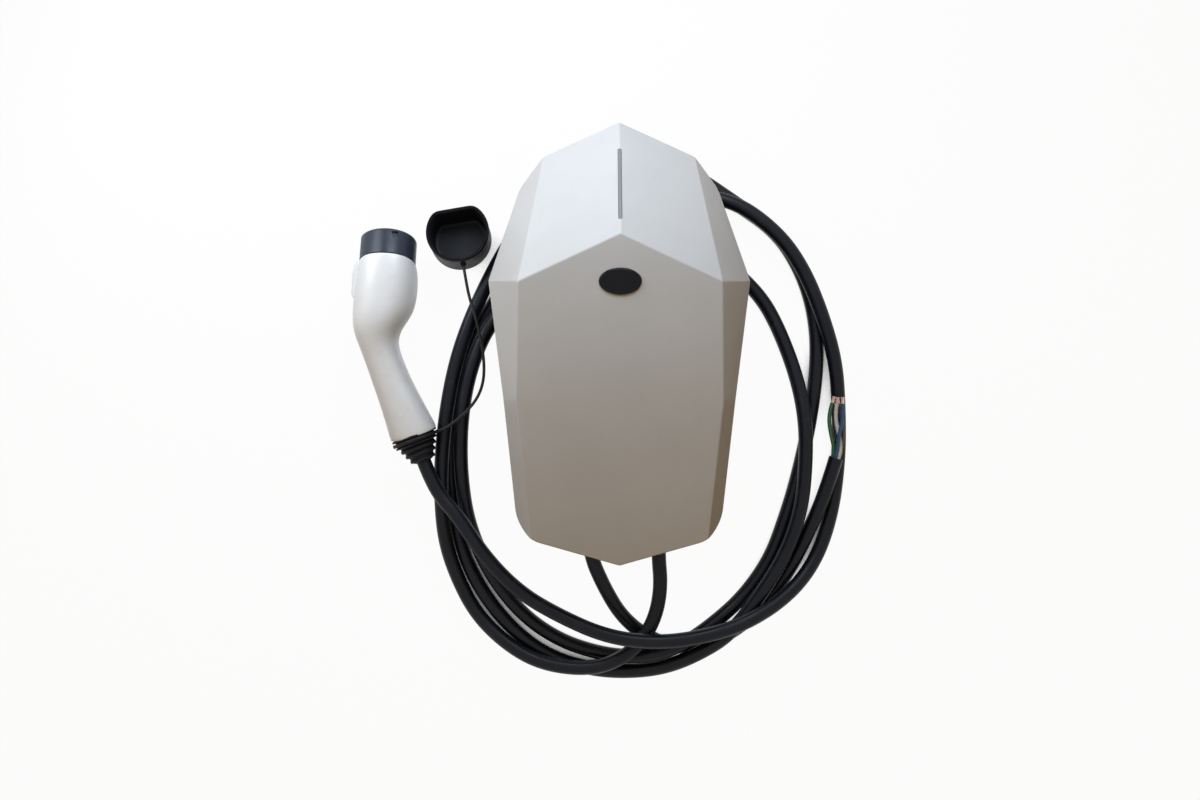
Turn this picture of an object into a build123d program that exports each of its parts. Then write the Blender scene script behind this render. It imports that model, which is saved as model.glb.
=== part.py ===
from build123d import *
from math import atan2, copysign, cos, degrees, pi, radians, sin, tan
import os

os.makedirs("parts", exist_ok=True)

# A wall box for charging a car, laid on its back with its cables wound round it.
# Millimetres. +Z comes out of the front cover, +Y runs to the unit's top, +X to the right.
# The origin is the middle of the box on the surface that its back lies on.

# front cover: a faceted hood with a ridge shaped like a chevron
cover_depth = 150
ridge_y = 96.5
front_fall = 11
apex_y = 212
apex_height = 84
corner_x = 93.5
corner_y = 54
widest_x = 125.5
widest_y = 60
widest_height = 84
shoulder_x = 73
shoulder_y = 180.5
temple_x = 97
temple_y = 153
waist_x = 110
waist_y = -54
waist_crease_x = 96.5
hip_x = 99.5
hip_y = -168
foot_x = 86
foot_y = -187
foot_crease_x = 84.5
toe_y = -212
rim_height = 59.5
cover_wall = 3
corner_round = 14
apex_round = 5
firm_corners_y = (shoulder_y, temple_y, hip_y, foot_y)
crease_round = 3.2
wall_round = 1
fit_gap = 0.3

# rear housing: a neck on the wall and a flange that closes the cover
neck_half_width = 88
neck_top = 98
neck_bottom = -150
neck_corner = 14
neck_wall = 3.5
neck_floor = 4
flange_thickness = 3.5
flange_inset = 0.6
lip_height = 5
lip_thickness = 2.4
seal_thickness = 1.5
seal_width = 2.2
rib_depth = 7
rib_thickness = 2.4
fixing_spacing_x = 90
fixing_spacing_y = 180
fixing_y = -22
fixing_hole = 6.5
fixing_pad = 18
fixing_pad_height = 3
knockout_diameter = 30
knockout_groove = 0.8

# screws that hold the cover, driven from behind the flange
cover_screw_places = [(48, 164), (108, 62), (80, -166)]
cover_screw_diameter = 4
cover_screw_head = 8
cover_screw_head_height = 2.6
cover_screw_length = 18
boss_diameter = 10

# light bar and badge
slot_width = 3.8
slot_length = 84
slot_middle_y = 147
light_bar_depth = 7
light_foot = 2
light_board_thickness = 1.6
light_board_width = 14
badge_width = 39
badge_height = 24
badge_thickness = 3.4
badge_round = 2.4
badge_y = 54
badge_seat = 1

# cable glands in the neck's lower wall
charge_gland_x = 40
supply_gland_x = -30
gland_thread = 25
gland_hex = 30
gland_washer_rim = 1
gland_headroom = 8.5
gland_washer = 1.5
gland_collar = 6
gland_neck = 10
gland_nut_length = 18
gland_nut_gap = 2.5
gland_locknut = 5
gland_end = 2
cable_diameter = 14.5
gland_seal_length = 5

# boards inside
board_thickness = 1.6
board_side_gap = 15.5
board_top_gap = 35.5
board_gland_gap = 8.5
standoff_height = 12
standoff_diameter = 8
board_screw = 3
board_margin = 6
terminal_size = (58, 20, 24)
terminal_x = 36
terminal_y = -92
terminal_pitch = 11
core_slots = [0, 1, 4, 3, 2]
relay_gap = 5
relay_length = 32
relay_height = 26
control_margin = 11
control_length = 66
control_y = 22
pillar_height = 32
pillar_size = 6
reader_width = 70
reader_length = 46
reader_drop = 9
reader_post = 6

# charging connector
nose_diameter = 56
nose_flat = 23.5
nose_length = 27
nose_insert = 8
nose_insert_gap = 1.5
nose_wall = 3
nose_recess = 16
nose_round = 7
nose_dip = 20
nose_tip = (-231, 106.5, 28.4)
socket_wall = 1.8
sleeve_length = 13
power_sleeve = 6.2
signal_sleeve = 3.2
sleeve_wall = 0.8
shell_wall = 2.8
boot_start = (-204, -88, 40)
boot_end = (-194, -115, 39)
boot_collar = 46
boot_ribs = [(3, 46), (5, 40), (2, 44), (2, 30), (4, 35), (2, 25), (4, 30), (2, 21), (4, 25)]
ring_diameter = 47
ring_step = 1

# dust cap, taken off and lying beside the connector
cap_width = 63
cap_flat = 24.5
cap_depth = 36
cap_wall = 3
cap_round = 7
cap_base = (-160, 107.5, 5)
cap_lean = 11
cap_lean_side = -0.1
cap_turn = 10
strap_diameter = 3

# cord routes, chosen by hand; each point is a corner of straight runs that arcs round off
charge_route = [
    (40, -178, 30), (40, -208, 30), (43, -243, 29.5), (36, -277, 28.5), (17, -305, 27.5),
    (-12, -322, 26), (-45, -325, 25), (-83, -318, 23), (-116, -300, 15), (-146, -272, 7.5),
    (-165, -234, 10), (-176, -197, 17), (-179, -155, 24), (-178.5, -110, 24), (-173.5, -63, 24.5),
    (-164, -15, 25), (-149, 29, 24), (-125, 84, 12), (-92, 137, 7.5), (-45, 179, 7.5),
    (12, 191, 7.5), (71, 181, 7.5), (118, 149, 7.5), (163, 118, 7.5), (189, 76, 7.5),
    (202, 31, 7.5), (204, -16, 7.5), (197, -74, 7.5), (183, -136, 7.5), (170, -178, 7.5),
    (155, -218, 7.5), (128, -255, 10), (95, -281, 22), (66, -300, 26), (38, -312, 20),
    (10, -316, 10.5), (-20, -313, 7.5), (-60, -300, 7.5), (-98, -274, 7.5), (-131, -232, 9),
    (-152, -181, 18), (-159, -130, 25), (-159, -79, 25), (-152, -32, 25), (-135, 16, 23),
    (-104, 55, 13), (-72, 89, 7.5), (-29, 115, 7.5), (18, 123, 7.5), (67, 114, 7.5),
    (109, 87, 7.5), (144, 55, 7.5), (163, 22, 9), (181, -28, 15), (189, -74, 25),
    (189, -121, 25), (185, -165, 21.5), (170, -209, 21.5), (143, -251, 25.5), (112, -291, 27),
    (77, -312, 25), (47, -326, 15), (13, -332, 7.5), (-26, -330, 7.5), (-70, -317, 7.5),
    (-108, -290, 7.5), (-142, -247, 7.5), (-163, -199, 7.5), (-171, -146, 7.5), (-171, -91, 7.5),
    (-163, -36, 7.5), (-146, 14, 7.5), (-116, 63, 7.5), (-82, 110, 7.5), (-35, 146, 7.5),
    (14, 159, 10), (67, 153, 22), (116, 148, 25), (161, 115, 25), (187, 78, 25),
    (206, 32, 24), (222, -15, 12), (226, -64, 7.5), (226, -113, 7.5), (219, -170, 7.5),
    (202, -218, 10), (172, -251, 25), (127, -276, 43), (81, -290, 44), (35, -295, 44.5),
    (-12, -289, 43), (-57, -270, 40), (-98, -247, 37), (-133, -211, 40), (-160, -169, 42),
    (-183.6, -143.1, 37.9), (-194, -115, 39),
]
supply_route = [
    (-30, -178, 30), (-30, -206, 30), (-14, -244, 23), (4, -275, 13), (30, -297, 7.5),
    (63, -308, 7.5), (97, -302, 7.5), (128, -284, 7.5), (154, -258, 7.5), (175, -228, 7.5),
    (193, -192, 9), (209.5, -150, 18.5), (220, -112.5, 22.5),
]
strap_middle = [
    (-149.5, 49, 35), (-142.5, 29, 38), (-137.5, 6, 38), (-134, -15, 38), (-134.5, -36, 38),
    (-141, -53, 38), (-153, -67, 38.3),
]
strap_stub = 8
strap_tab = 6
tab_height = 26
strap_tab_length = 3
tail_inside = 22
core_diameter = 4
core_ring = 3.5
core_stub = 7
core_routes = {
    "core_green": (350, [(215.3, -90.2, 22.3), (213, -77, 22.3), (213.7, -66, 22), (216.5, -57, 21.5)]),
    "core_blue": (62, [(221, -93, 28.6), (224.2, -80, 28), (226, -68, 27.5), (226, -58, 26.5)]),
    "core_grey": (134, [(223.9, -93.5, 23.9), (220.8, -80, 22.7), (219.6, -68, 22.9), (220.6, -58, 23.6)]),
    "core_brown": (206, [(227.3, -94, 20.8), (227.5, -80, 20.8), (225.3, -68, 20.5), (223.3, -58, 20)]),
    "core_black": (278, [(221.3, -93, 18.2), (217.6, -79, 18), (214, -67, 17.8), (212, -58, 17.5)]),
}
bare_length = 7
bare_diameter = 2.8


def facet(a, b, c):
    # the plane through three points, facing out of the cover
    normal = (Vector(*b) - Vector(*a)).cross(Vector(*c) - Vector(*a)).normalized()
    if normal.Z < 0:
        normal = -normal
    return Plane(origin=a, z_dir=normal)


def height_on(plane, x, y):
    normal, origin = plane.z_dir, plane.origin
    return origin.Z - (normal.X * (x - origin.X) + normal.Y * (y - origin.Y)) / normal.Z


def mirrored(point):
    return (-point[0], *point[1:])


def front_height(y):
    return cover_depth - (ridge_y - y) * tan(radians(front_fall))


# corners of the facets on the right-hand side; the left-hand side mirrors them
peak = (0, ridge_y, cover_depth)
apex = (0, apex_y, apex_height)
corner = (corner_x, corner_y, front_height(corner_y))
widest = (widest_x, widest_y, widest_height)
waist_crease = (waist_crease_x, waist_y, front_height(waist_y))
foot_crease = (foot_crease_x, foot_y, front_height(foot_y))
front_plane = facet(peak, corner, mirrored(corner))
upper_plane = facet(peak, corner, apex)
shoulder = (shoulder_x, shoulder_y, height_on(upper_plane, shoulder_x, shoulder_y))
temple_plane = facet(corner, shoulder, widest)
flank_plane = facet(corner, widest, waist_crease)
waist = (waist_x, waist_y, height_on(flank_plane, waist_x, waist_y))
haunch_plane = facet(waist_crease, waist, foot_crease)
side_planes = [upper_plane, temple_plane, flank_plane, haunch_plane]


def cover_outline(inset):
    # the cover seen from the front, moved in by the inset
    side = [(shoulder_x, shoulder_y), (temple_x, temple_y), (widest_x, widest_y)]
    side += [(waist_x, waist_y), (hip_x, hip_y), (foot_x, foot_y)]
    other_side = [mirrored(point) for point in reversed(side)]
    with BuildSketch() as outline:
        with BuildLine():
            Polyline((0, apex_y), *side, (0, toe_y), *other_side, (0, apex_y))
        make_face()
        for corners_y, radius in (((apex_y, widest_y, toe_y), apex_round), (firm_corners_y, corner_round)):
            fillet([v for v in outline.vertices() if min(abs(v.Y - y) for y in corners_y) < 0.01], radius)
        if inset:
            offset(amount=-inset, kind=Kind.INTERSECTION)
    return outline.sketch


def cover_block(inset):
    # the cover's solid form: its outline stood up and cut by every facet
    with BuildPart() as block:
        with BuildSketch(Plane.XY.offset(rim_height)):
            add(cover_outline(inset))
        extrude(amount=cover_depth)
        cuts = [front_plane] + side_planes
        cuts += [Plane(origin=mirrored(tuple(p.origin)), z_dir=mirrored(tuple(p.z_dir))) for p in side_planes]
        for plane in cuts:
            split(bisect_by=plane.offset(-inset), keep=Keep.BOTTOM)
    return block.part


def neck_outline(inset):
    # the neck: an arch on top, so that a wound cable lies in a round
    arch_y = neck_top - neck_half_width
    with BuildSketch() as outline:
        with Locations((0, arch_y)):
            Circle(neck_half_width)
        with Locations((0, (arch_y + neck_bottom) / 2)):
            Rectangle(2 * neck_half_width, arch_y - neck_bottom)
        fillet(outline.vertices().group_by(Axis.Y)[0], neck_corner)
        if inset:
            offset(amount=-inset)
    return outline.sketch


def both_sides(points):
    return list(points) + [mirrored(point) for point in points]


# the board fills the neck from the glands to below the arch
board_width = 2 * (neck_half_width - neck_wall - board_side_gap)
board_low = neck_bottom + neck_wall + gland_locknut + gland_end + board_gland_gap
board_high = neck_top - neck_wall - board_top_gap
board_length = board_high - board_low
board_y = (board_high + board_low) / 2
relay_pitch = (board_width - 2 * board_margin - 2 * board_screw) / 4
control_width = board_width - 2 * control_margin
flange_base = rim_height - seal_thickness - flange_thickness
flange_top = flange_base + flange_thickness
gland_height = flange_base - gland_headroom - gland_hex / 2 - gland_washer_rim
ridge_angle = degrees(atan2(cover_depth - apex_height, apex_y - ridge_y))
ridge_normal = (0, sin(radians(ridge_angle)), cos(radians(ridge_angle)))
slot_height = cover_depth - (slot_middle_y - ridge_y) * tan(radians(ridge_angle))
slot_plane = Plane(origin=(0, slot_middle_y, slot_height), x_dir=(1, 0, 0), z_dir=ridge_normal)
front_normal = front_plane.z_dir
badge_plane = Plane(origin=(0, badge_y, front_height(badge_y)), x_dir=(1, 0, 0), z_dir=front_normal)
reader_plane = badge_plane.offset(-cover_wall - reader_drop)
reader_holes = [(reader_width / 2 - 5, reader_length / 2 - 5), (reader_width / 2 - 5, 5 - reader_length / 2)]

with BuildPart() as cover_bosses:
    with BuildSketch(Plane.XY.offset(rim_height)):
        with Locations(both_sides(cover_screw_places)):
            Circle(boss_diameter / 2)
    extrude(amount=cover_depth)
    with BuildSketch(reader_plane):
        with Locations(both_sides(reader_holes)):
            Circle(reader_post / 2)
    extrude(amount=cover_wall + reader_drop)
    with BuildSketch(slot_plane.offset(-light_bar_depth)):
        with Locations((0, slot_length / 2 + 5), (0, -slot_length / 2 - 5)):
            Circle(reader_post / 2)
    extrude(amount=light_bar_depth)
    add(cover_block(cover_wall / 2), mode=Mode.INTERSECT)

with BuildPart() as front_cover:
    add(cover_block(0))
    walls = front_cover.faces().filter_by(lambda face: abs(face.normal_at().Z) < 0.001)
    wall_edges = walls.edges()
    creases = [e for e in front_cover.edges() if e.center().Z > rim_height + 1 and e not in wall_edges]
    fillet(creases, crease_round)
    walls = front_cover.faces().filter_by(lambda face: abs(face.normal_at().Z) < 0.001)
    tops = walls.edges().filter_by(lambda edge: edge.center().Z > rim_height + 1 and abs(edge.tangent_at(0.5).Z) < 0.98)
    fillet(tops, wall_round)
    add(cover_block(cover_wall), mode=Mode.SUBTRACT)
    add(cover_bosses.part)
    with BuildSketch(slot_plane.offset(2)):
        SlotOverall(slot_length, slot_width, rotation=90)
    extrude(amount=-cover_wall - 6, mode=Mode.SUBTRACT)
    with BuildSketch(badge_plane):
        Ellipse(badge_width / 2 + fit_gap, badge_height / 2 + fit_gap)
    extrude(amount=-badge_seat, mode=Mode.SUBTRACT)
    with BuildSketch(Plane.XY.offset(rim_height)):
        with Locations(both_sides(cover_screw_places)):
            Circle(cover_screw_diameter / 2 + fit_gap / 2)
    extrude(amount=cover_screw_length, mode=Mode.SUBTRACT)
front_cover.part.label = "front_cover"
export_step(front_cover.part, "parts/front_cover.step")

with BuildPart() as locating_lip:
    with BuildSketch(Plane.XY.offset(flange_top)):
        add(cover_outline(cover_wall + fit_gap))
        add(cover_outline(cover_wall + fit_gap + lip_thickness), mode=Mode.SUBTRACT)
    extrude(amount=lip_height)
    for origin, normal in ((temple_plane.origin, temple_plane.z_dir), (mirrored(tuple(temple_plane.origin)), mirrored(tuple(temple_plane.z_dir)))):
        split(bisect_by=Plane(origin=origin, z_dir=normal).offset(-cover_wall - fit_gap), keep=Keep.BOTTOM)

with BuildPart() as rear_housing:
    with BuildSketch(Plane.XY.offset(flange_base)):
        add(cover_outline(flange_inset))
    extrude(amount=flange_thickness)
    add(locating_lip.part)
    with BuildSketch(Plane.XY.offset(flange_base - rib_depth)):
        for angle in range(30, 151, 20):
            with Locations((0, neck_top - neck_half_width)):
                with PolarLocations(neck_half_width + 12, 1, start_angle=angle):
                    Rectangle(26, rib_thickness)
    extrude(amount=rib_depth)
    with BuildSketch():
        add(neck_outline(0))
    extrude(amount=flange_top)
    with BuildSketch(Plane.XY.offset(neck_floor)):
        add(neck_outline(neck_wall))
    extrude(amount=flange_top, mode=Mode.SUBTRACT)
    with BuildSketch(Plane.XY.offset(neck_floor)):
        with Locations((0, fixing_y)):
            with GridLocations(fixing_spacing_x, fixing_spacing_y, 2, 2):
                Circle(fixing_pad / 2)
    extrude(amount=fixing_pad_height)
    with BuildSketch(Plane.XY.offset(neck_floor)):
        with Locations((0, board_y)):
            with GridLocations(board_width - 2 * board_margin, board_length / 2 - board_margin, 2, 3):
                Circle(standoff_diameter / 2)
    extrude(amount=standoff_height)
    with BuildSketch(Plane.XY.offset(neck_floor + standoff_height)):
        with Locations((0, board_y)):
            with GridLocations(board_width - 2 * board_margin, board_length / 2 - board_margin, 2, 3):
                Circle(board_screw / 2 + fit_gap / 2)
    extrude(amount=-standoff_height, mode=Mode.SUBTRACT)
    with BuildSketch():
        with Locations((0, fixing_y)):
            with GridLocations(fixing_spacing_x, fixing_spacing_y, 2, 2):
                Circle(fixing_hole / 2)
    extrude(amount=neck_floor + fixing_pad_height, mode=Mode.SUBTRACT)
    with BuildSketch():
        Circle(knockout_diameter / 2)
        Circle(knockout_diameter / 2 - 1, mode=Mode.SUBTRACT)
    extrude(amount=knockout_groove, mode=Mode.SUBTRACT)
    with BuildSketch(Plane.XY.offset(flange_base)):
        with Locations(both_sides(cover_screw_places)):
            Circle(cover_screw_diameter / 2 + fit_gap)
    extrude(amount=flange_thickness, mode=Mode.SUBTRACT)
    with BuildSketch(Plane(origin=(0, neck_bottom, gland_height), x_dir=(1, 0, 0), z_dir=(0, -1, 0))):
        with Locations((charge_gland_x, 0), (supply_gland_x, 0)):
            Circle(gland_thread / 2 + fit_gap)
    extrude(amount=-neck_wall, mode=Mode.SUBTRACT)
rear_housing.part.label = "rear_housing"
export_step(rear_housing.part, "parts/rear_housing.step")

with BuildPart() as housing_seal:
    with BuildSketch(Plane.XY.offset(flange_top)):
        add(cover_outline(flange_inset))
        add(cover_outline(flange_inset + seal_width), mode=Mode.SUBTRACT)
    extrude(amount=seal_thickness)
housing_seal.part.label = "housing_seal"
export_step(housing_seal.part, "parts/housing_seal.step")

with BuildPart() as cover_screws:
    with BuildSketch(Plane.XY.offset(flange_base - cover_screw_head_height)):
        with Locations(both_sides(cover_screw_places)):
            Circle(cover_screw_head / 2)
    extrude(amount=cover_screw_head_height)
    with BuildSketch(Plane.XY.offset(flange_base - cover_screw_head_height)):
        with Locations(both_sides(cover_screw_places)):
            RegularPolygon(1.8, 6)
    extrude(amount=cover_screw_head_height / 2, mode=Mode.SUBTRACT)
    with BuildSketch(Plane.XY.offset(flange_base)):
        with Locations(both_sides(cover_screw_places)):
            Circle(cover_screw_diameter / 2)
    extrude(amount=cover_screw_length)
cover_screws.part.label = "cover_screws"
export_step(cover_screws.part, "parts/cover_screws.step")

with BuildPart() as light_bar:
    with BuildSketch(slot_plane.offset(-0.6)):
        SlotOverall(slot_length - 2 * fit_gap, slot_width - 2 * fit_gap, rotation=90)
    extrude(amount=0.6 - light_bar_depth)
    with BuildSketch(slot_plane.offset(-light_bar_depth)):
        SlotOverall(slot_length - 2 * fit_gap, slot_width + 2, rotation=90)
    extrude(amount=light_foot - 0.8)
light_bar.part.label = "light_bar"
export_step(light_bar.part, "parts/light_bar.step")

with BuildPart() as light_board:
    with BuildSketch(slot_plane.offset(-light_bar_depth)):
        Rectangle(light_board_width, slot_length + 18)
    extrude(amount=-light_board_thickness)
light_board.part.label = "light_board"
export_step(light_board.part, "parts/light_board.step")

with BuildPart() as oval_badge:
    with BuildSketch(badge_plane.offset(-badge_seat)):
        Ellipse(badge_width / 2, badge_height / 2)
    extrude(amount=badge_thickness)
    fillet(oval_badge.faces().sort_by(Axis.Z)[-1].edges(), badge_round)
oval_badge.part.label = "oval_badge"
export_step(oval_badge.part, "parts/oval_badge.step")


def gland_plane(x):
    return Plane(origin=(x, neck_bottom, gland_height), x_dir=(1, 0, 0), z_dir=(0, -1, 0))


bore = cable_diameter / 2 + fit_gap
nut_start = gland_washer + gland_collar + gland_nut_gap
nut_end = nut_start + gland_nut_length
for side, gland_x in (("charge", charge_gland_x), ("supply", supply_gland_x)):
    plane = gland_plane(gland_x)
    with BuildPart() as gland_washers:
        with BuildSketch(plane):
            Circle(gland_hex / 2 + gland_washer_rim)
            Circle(gland_thread / 2 + fit_gap, mode=Mode.SUBTRACT)
        extrude(amount=gland_washer)
    gland_washers.part.label = side + "_gland_washer"
    export_step(gland_washers.part, "parts/" + side + "_gland_washer.step")
    with BuildPart() as gland_body:
        with BuildSketch(plane.offset(-neck_wall - gland_locknut - gland_end)):
            Circle(gland_thread / 2)
        extrude(amount=neck_wall + gland_locknut + gland_end + gland_washer)
        with BuildSketch(plane.offset(gland_washer)):
            RegularPolygon(gland_hex / 2, 6, major_radius=False)
        extrude(amount=gland_collar)
        with BuildSketch(plane.offset(gland_washer + gland_collar)):
            Circle(gland_thread / 2 - 1)
        extrude(amount=gland_neck)
        with BuildSketch(plane.offset(-neck_wall - gland_locknut - gland_end)):
            Circle(bore)
        extrude(amount=60, mode=Mode.SUBTRACT)
    gland_body.part.label = side + "_gland_body"
    export_step(gland_body.part, "parts/" + side + "_gland_body.step")
    with BuildPart() as gland_nut:
        with BuildSketch(plane.offset(nut_start)):
            RegularPolygon(gland_hex / 2, 6, major_radius=False)
        extrude(amount=gland_nut_length / 2)
        with BuildSketch(plane.offset(nut_start + gland_nut_length / 2)):
            Circle(gland_hex / 2 - 0.5)
        extrude(amount=gland_nut_length / 2)
        fillet(gland_nut.faces().sort_by(Axis.Y)[0].edges(), 4.5)
        with BuildSketch(plane.offset(nut_start)):
            Circle(gland_thread / 2 - 1 + fit_gap)
        extrude(amount=gland_neck - gland_nut_gap + gland_seal_length, mode=Mode.SUBTRACT)
        with BuildSketch(plane.offset(nut_start)):
            Circle(bore)
        extrude(amount=gland_nut_length, mode=Mode.SUBTRACT)
    gland_nut.part.label = side + "_gland_nut"
    export_step(gland_nut.part, "parts/" + side + "_gland_nut.step")
    with BuildPart() as gland_seal:
        with BuildSketch(plane.offset(gland_washer + gland_collar + gland_neck)):
            Circle(gland_thread / 2 - 1)
            Circle(cable_diameter / 2, mode=Mode.SUBTRACT)
        extrude(amount=gland_seal_length)
    gland_seal.part.label = side + "_gland_seal"
    export_step(gland_seal.part, "parts/" + side + "_gland_seal.step")
    with BuildPart() as gland_locknuts:
        with BuildSketch(plane.offset(-neck_wall)):
            RegularPolygon(gland_hex / 2 + 1, 6, major_radius=False)
            Circle(gland_thread / 2 + fit_gap / 2, mode=Mode.SUBTRACT)
        extrude(amount=-gland_locknut)
    gland_locknuts.part.label = side + "_gland_locknut"
    export_step(gland_locknuts.part, "parts/" + side + "_gland_locknut.step")


board_base = neck_floor + standoff_height
board_top = board_base + board_thickness
with BuildPart() as main_board:
    with BuildSketch(Plane.XY.offset(board_base)):
        with Locations((0, board_y)):
            Rectangle(board_width, board_length)
            with GridLocations(board_width - 2 * board_margin, board_length / 2 - board_margin, 2, 3):
                Circle(board_screw / 2 + fit_gap, mode=Mode.SUBTRACT)
        with Locations((0, fixing_y)):
            with GridLocations(fixing_spacing_x, fixing_spacing_y, 2, 2):
                Circle(fixing_pad / 2 + 1, mode=Mode.SUBTRACT)
        add(neck_outline(neck_wall + 1), mode=Mode.INTERSECT)
    extrude(amount=board_thickness)
main_board.part.label = "main_board"
export_step(main_board.part, "parts/main_board.step")

with BuildPart() as board_screws:
    with BuildSketch(Plane.XY.offset(board_top)):
        with Locations((0, board_y)):
            with GridLocations(board_width - 2 * board_margin, board_length / 2 - board_margin, 2, 3):
                Circle(board_screw)
    extrude(amount=2)
    with BuildSketch(Plane.XY.offset(board_top - 8)):
        with Locations((0, board_y)):
            with GridLocations(board_width - 2 * board_margin, board_length / 2 - board_margin, 2, 3):
                Circle(board_screw / 2)
    extrude(amount=8)
board_screws.part.label = "board_screws"
export_step(board_screws.part, "parts/board_screws.step")

with BuildPart() as power_relays:
    with BuildSketch(Plane.XY.offset(board_top)):
        with Locations((0, board_y)):
            with GridLocations(relay_pitch, 1, 4, 1):
                RectangleRounded(relay_pitch - relay_gap, relay_length, 1.5)
    extrude(amount=relay_height)
power_relays.part.label = "power_relays"
export_step(power_relays.part, "parts/power_relays.step")

for side, gland_x in (("charge", charge_gland_x), ("supply", supply_gland_x)):
    with BuildPart() as terminals:
        with BuildSketch(Plane.XY.offset(board_top)):
            with Locations((copysign(terminal_x, gland_x), terminal_y)):
                Rectangle(*terminal_size[:2])
        extrude(amount=terminal_size[2])
        top = terminals.faces().sort_by(Axis.Z)[-1]
        with BuildSketch(Plane(origin=top.center(), z_dir=(0, 0, 1))):
            with GridLocations(terminal_pitch, 1, 5, 1):
                Circle(3)
        extrude(amount=-6, mode=Mode.SUBTRACT)
        entry = terminals.faces().sort_by(Axis.Y)[0]
        with BuildSketch(Plane(origin=entry.center(), x_dir=(1, 0, 0), z_dir=(0, -1, 0))):
            with GridLocations(terminal_pitch, 1, 5, 1):
                RectangleRounded(7, 9, 1)
        extrude(amount=-8, mode=Mode.SUBTRACT)
    terminals.part.label = side + "_terminals"
    export_step(terminals.part, "parts/" + side + "_terminals.step")

# the end of each cable, through its gland to the terminal block
tail_end = neck_bottom + tail_inside
for side, gland_x in (("charge", charge_gland_x), ("supply", supply_gland_x)):
    block_x = copysign(terminal_x, gland_x)
    with BuildPart() as cable_tail:
        with BuildSketch(Plane(origin=(gland_x, tail_end, gland_height), z_dir=(0, -1, 0))):
            Circle(cable_diameter / 2)
        extrude(amount=nut_end + tail_inside)
        for index in range(5):
            angle = radians(162 - 72 * index)
            core_x, core_z = gland_x + core_ring * cos(angle), gland_height + core_ring * sin(angle)
            wire_x = block_x + terminal_pitch * (core_slots[index] - 2)
            wire_end = (wire_x, terminal_y - terminal_size[1] / 2 + 5, board_top + terminal_size[2] / 2)
            corners = [(core_x, tail_end, core_z), (core_x, tail_end + 6, core_z), (wire_x, wire_end[1] - 10, wire_end[2]), wire_end]
            with BuildLine():
                FilletPolyline(*corners, radius=5)
            with BuildSketch(Plane(origin=corners[0], z_dir=(0, 1, 0))):
                Circle(1.6)
            sweep()
    cable_tail.part.label = side + "_tail"
    export_step(cable_tail.part, "parts/" + side + "_tail.step")

with BuildPart() as current_sensor:
    with BuildSketch(Plane.XY.offset(board_top)):
        with Locations((36, -66)):
            RectangleRounded(34, 24, 3)
            Circle(7.5, mode=Mode.SUBTRACT)
    extrude(amount=15)
current_sensor.part.label = "current_sensor"
export_step(current_sensor.part, "parts/current_sensor.step")

with BuildPart() as power_module:
    with BuildSketch(Plane.XY.offset(board_top)):
        with Locations((-32, 22)):
            RectangleRounded(30, 40, 1.5)
    extrude(amount=22)
power_module.part.label = "power_module"
export_step(power_module.part, "parts/power_module.step")

with BuildPart() as capacitors:
    with BuildSketch(Plane.XY.offset(board_top)):
        with Locations((20, 24)):
            with GridLocations(18, 18, 3, 2):
                Circle(6)
    extrude(amount=20)
capacitors.part.label = "capacitors"
export_step(capacitors.part, "parts/capacitors.step")

pillar_places = (control_width - 12, control_length - 12)
with BuildPart() as control_pillars:
    with BuildSketch(Plane.XY.offset(board_top)):
        with Locations((0, control_y)):
            with GridLocations(*pillar_places, 2, 2):
                RegularPolygon(pillar_size / 2, 6, major_radius=False)
    extrude(amount=pillar_height)
control_pillars.part.label = "control_pillars"
export_step(control_pillars.part, "parts/control_pillars.step")

control_base = board_top + pillar_height
with BuildPart() as control_board:
    with BuildSketch(Plane.XY.offset(control_base)):
        with Locations((0, control_y)):
            RectangleRounded(control_width, control_length, 3)
    extrude(amount=board_thickness)
control_board.part.label = "control_board"
export_step(control_board.part, "parts/control_board.step")

with BuildPart() as control_modules:
    with BuildSketch(Plane.XY.offset(control_base + board_thickness)):
        with Locations((-26, control_y)):
            Rectangle(26, 32)
        with Locations((14, control_y + 10)):
            Rectangle(20, 20)
        with Locations((36, control_y - 12)):
            Rectangle(16, 24)
    extrude(amount=4)
control_modules.part.label = "control_modules"
export_step(control_modules.part, "parts/control_modules.step")

with BuildPart() as reader_board:
    with BuildSketch(reader_plane):
        RectangleRounded(reader_width, reader_length, 3)
    extrude(amount=-board_thickness)
reader_board.part.label = "reader_board"
export_step(reader_board.part, "parts/reader_board.step")


def smooth_path(route):
    # straight runs joined by arcs, each as large as its two runs allow
    corners = [Vector(*point) for point in route]
    radii = []
    for before, here, after in zip(corners, corners[1:], corners[2:]):
        run_in, run_out = here - before, after - here
        turn = radians(run_in.get_angle(run_out))
        radii.append(0.45 * min(run_in.length, run_out.length) / tan(turn / 2))
    return FilletPolyline(*corners, radius=radii), radii


def tube_on(route, diameter):
    start = Plane(origin=route[0], z_dir=Vector(*route[1]) - Vector(*route[0]))
    with BuildPart() as tube:
        with BuildLine():
            line, radii = smooth_path(route)
        with BuildSketch(start):
            Circle(diameter / 2)
        sweep()
    ideal = pi * diameter ** 2 / 4 * line.length
    return tube, line.length, min(radii), tube.part.volume / ideal


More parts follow.
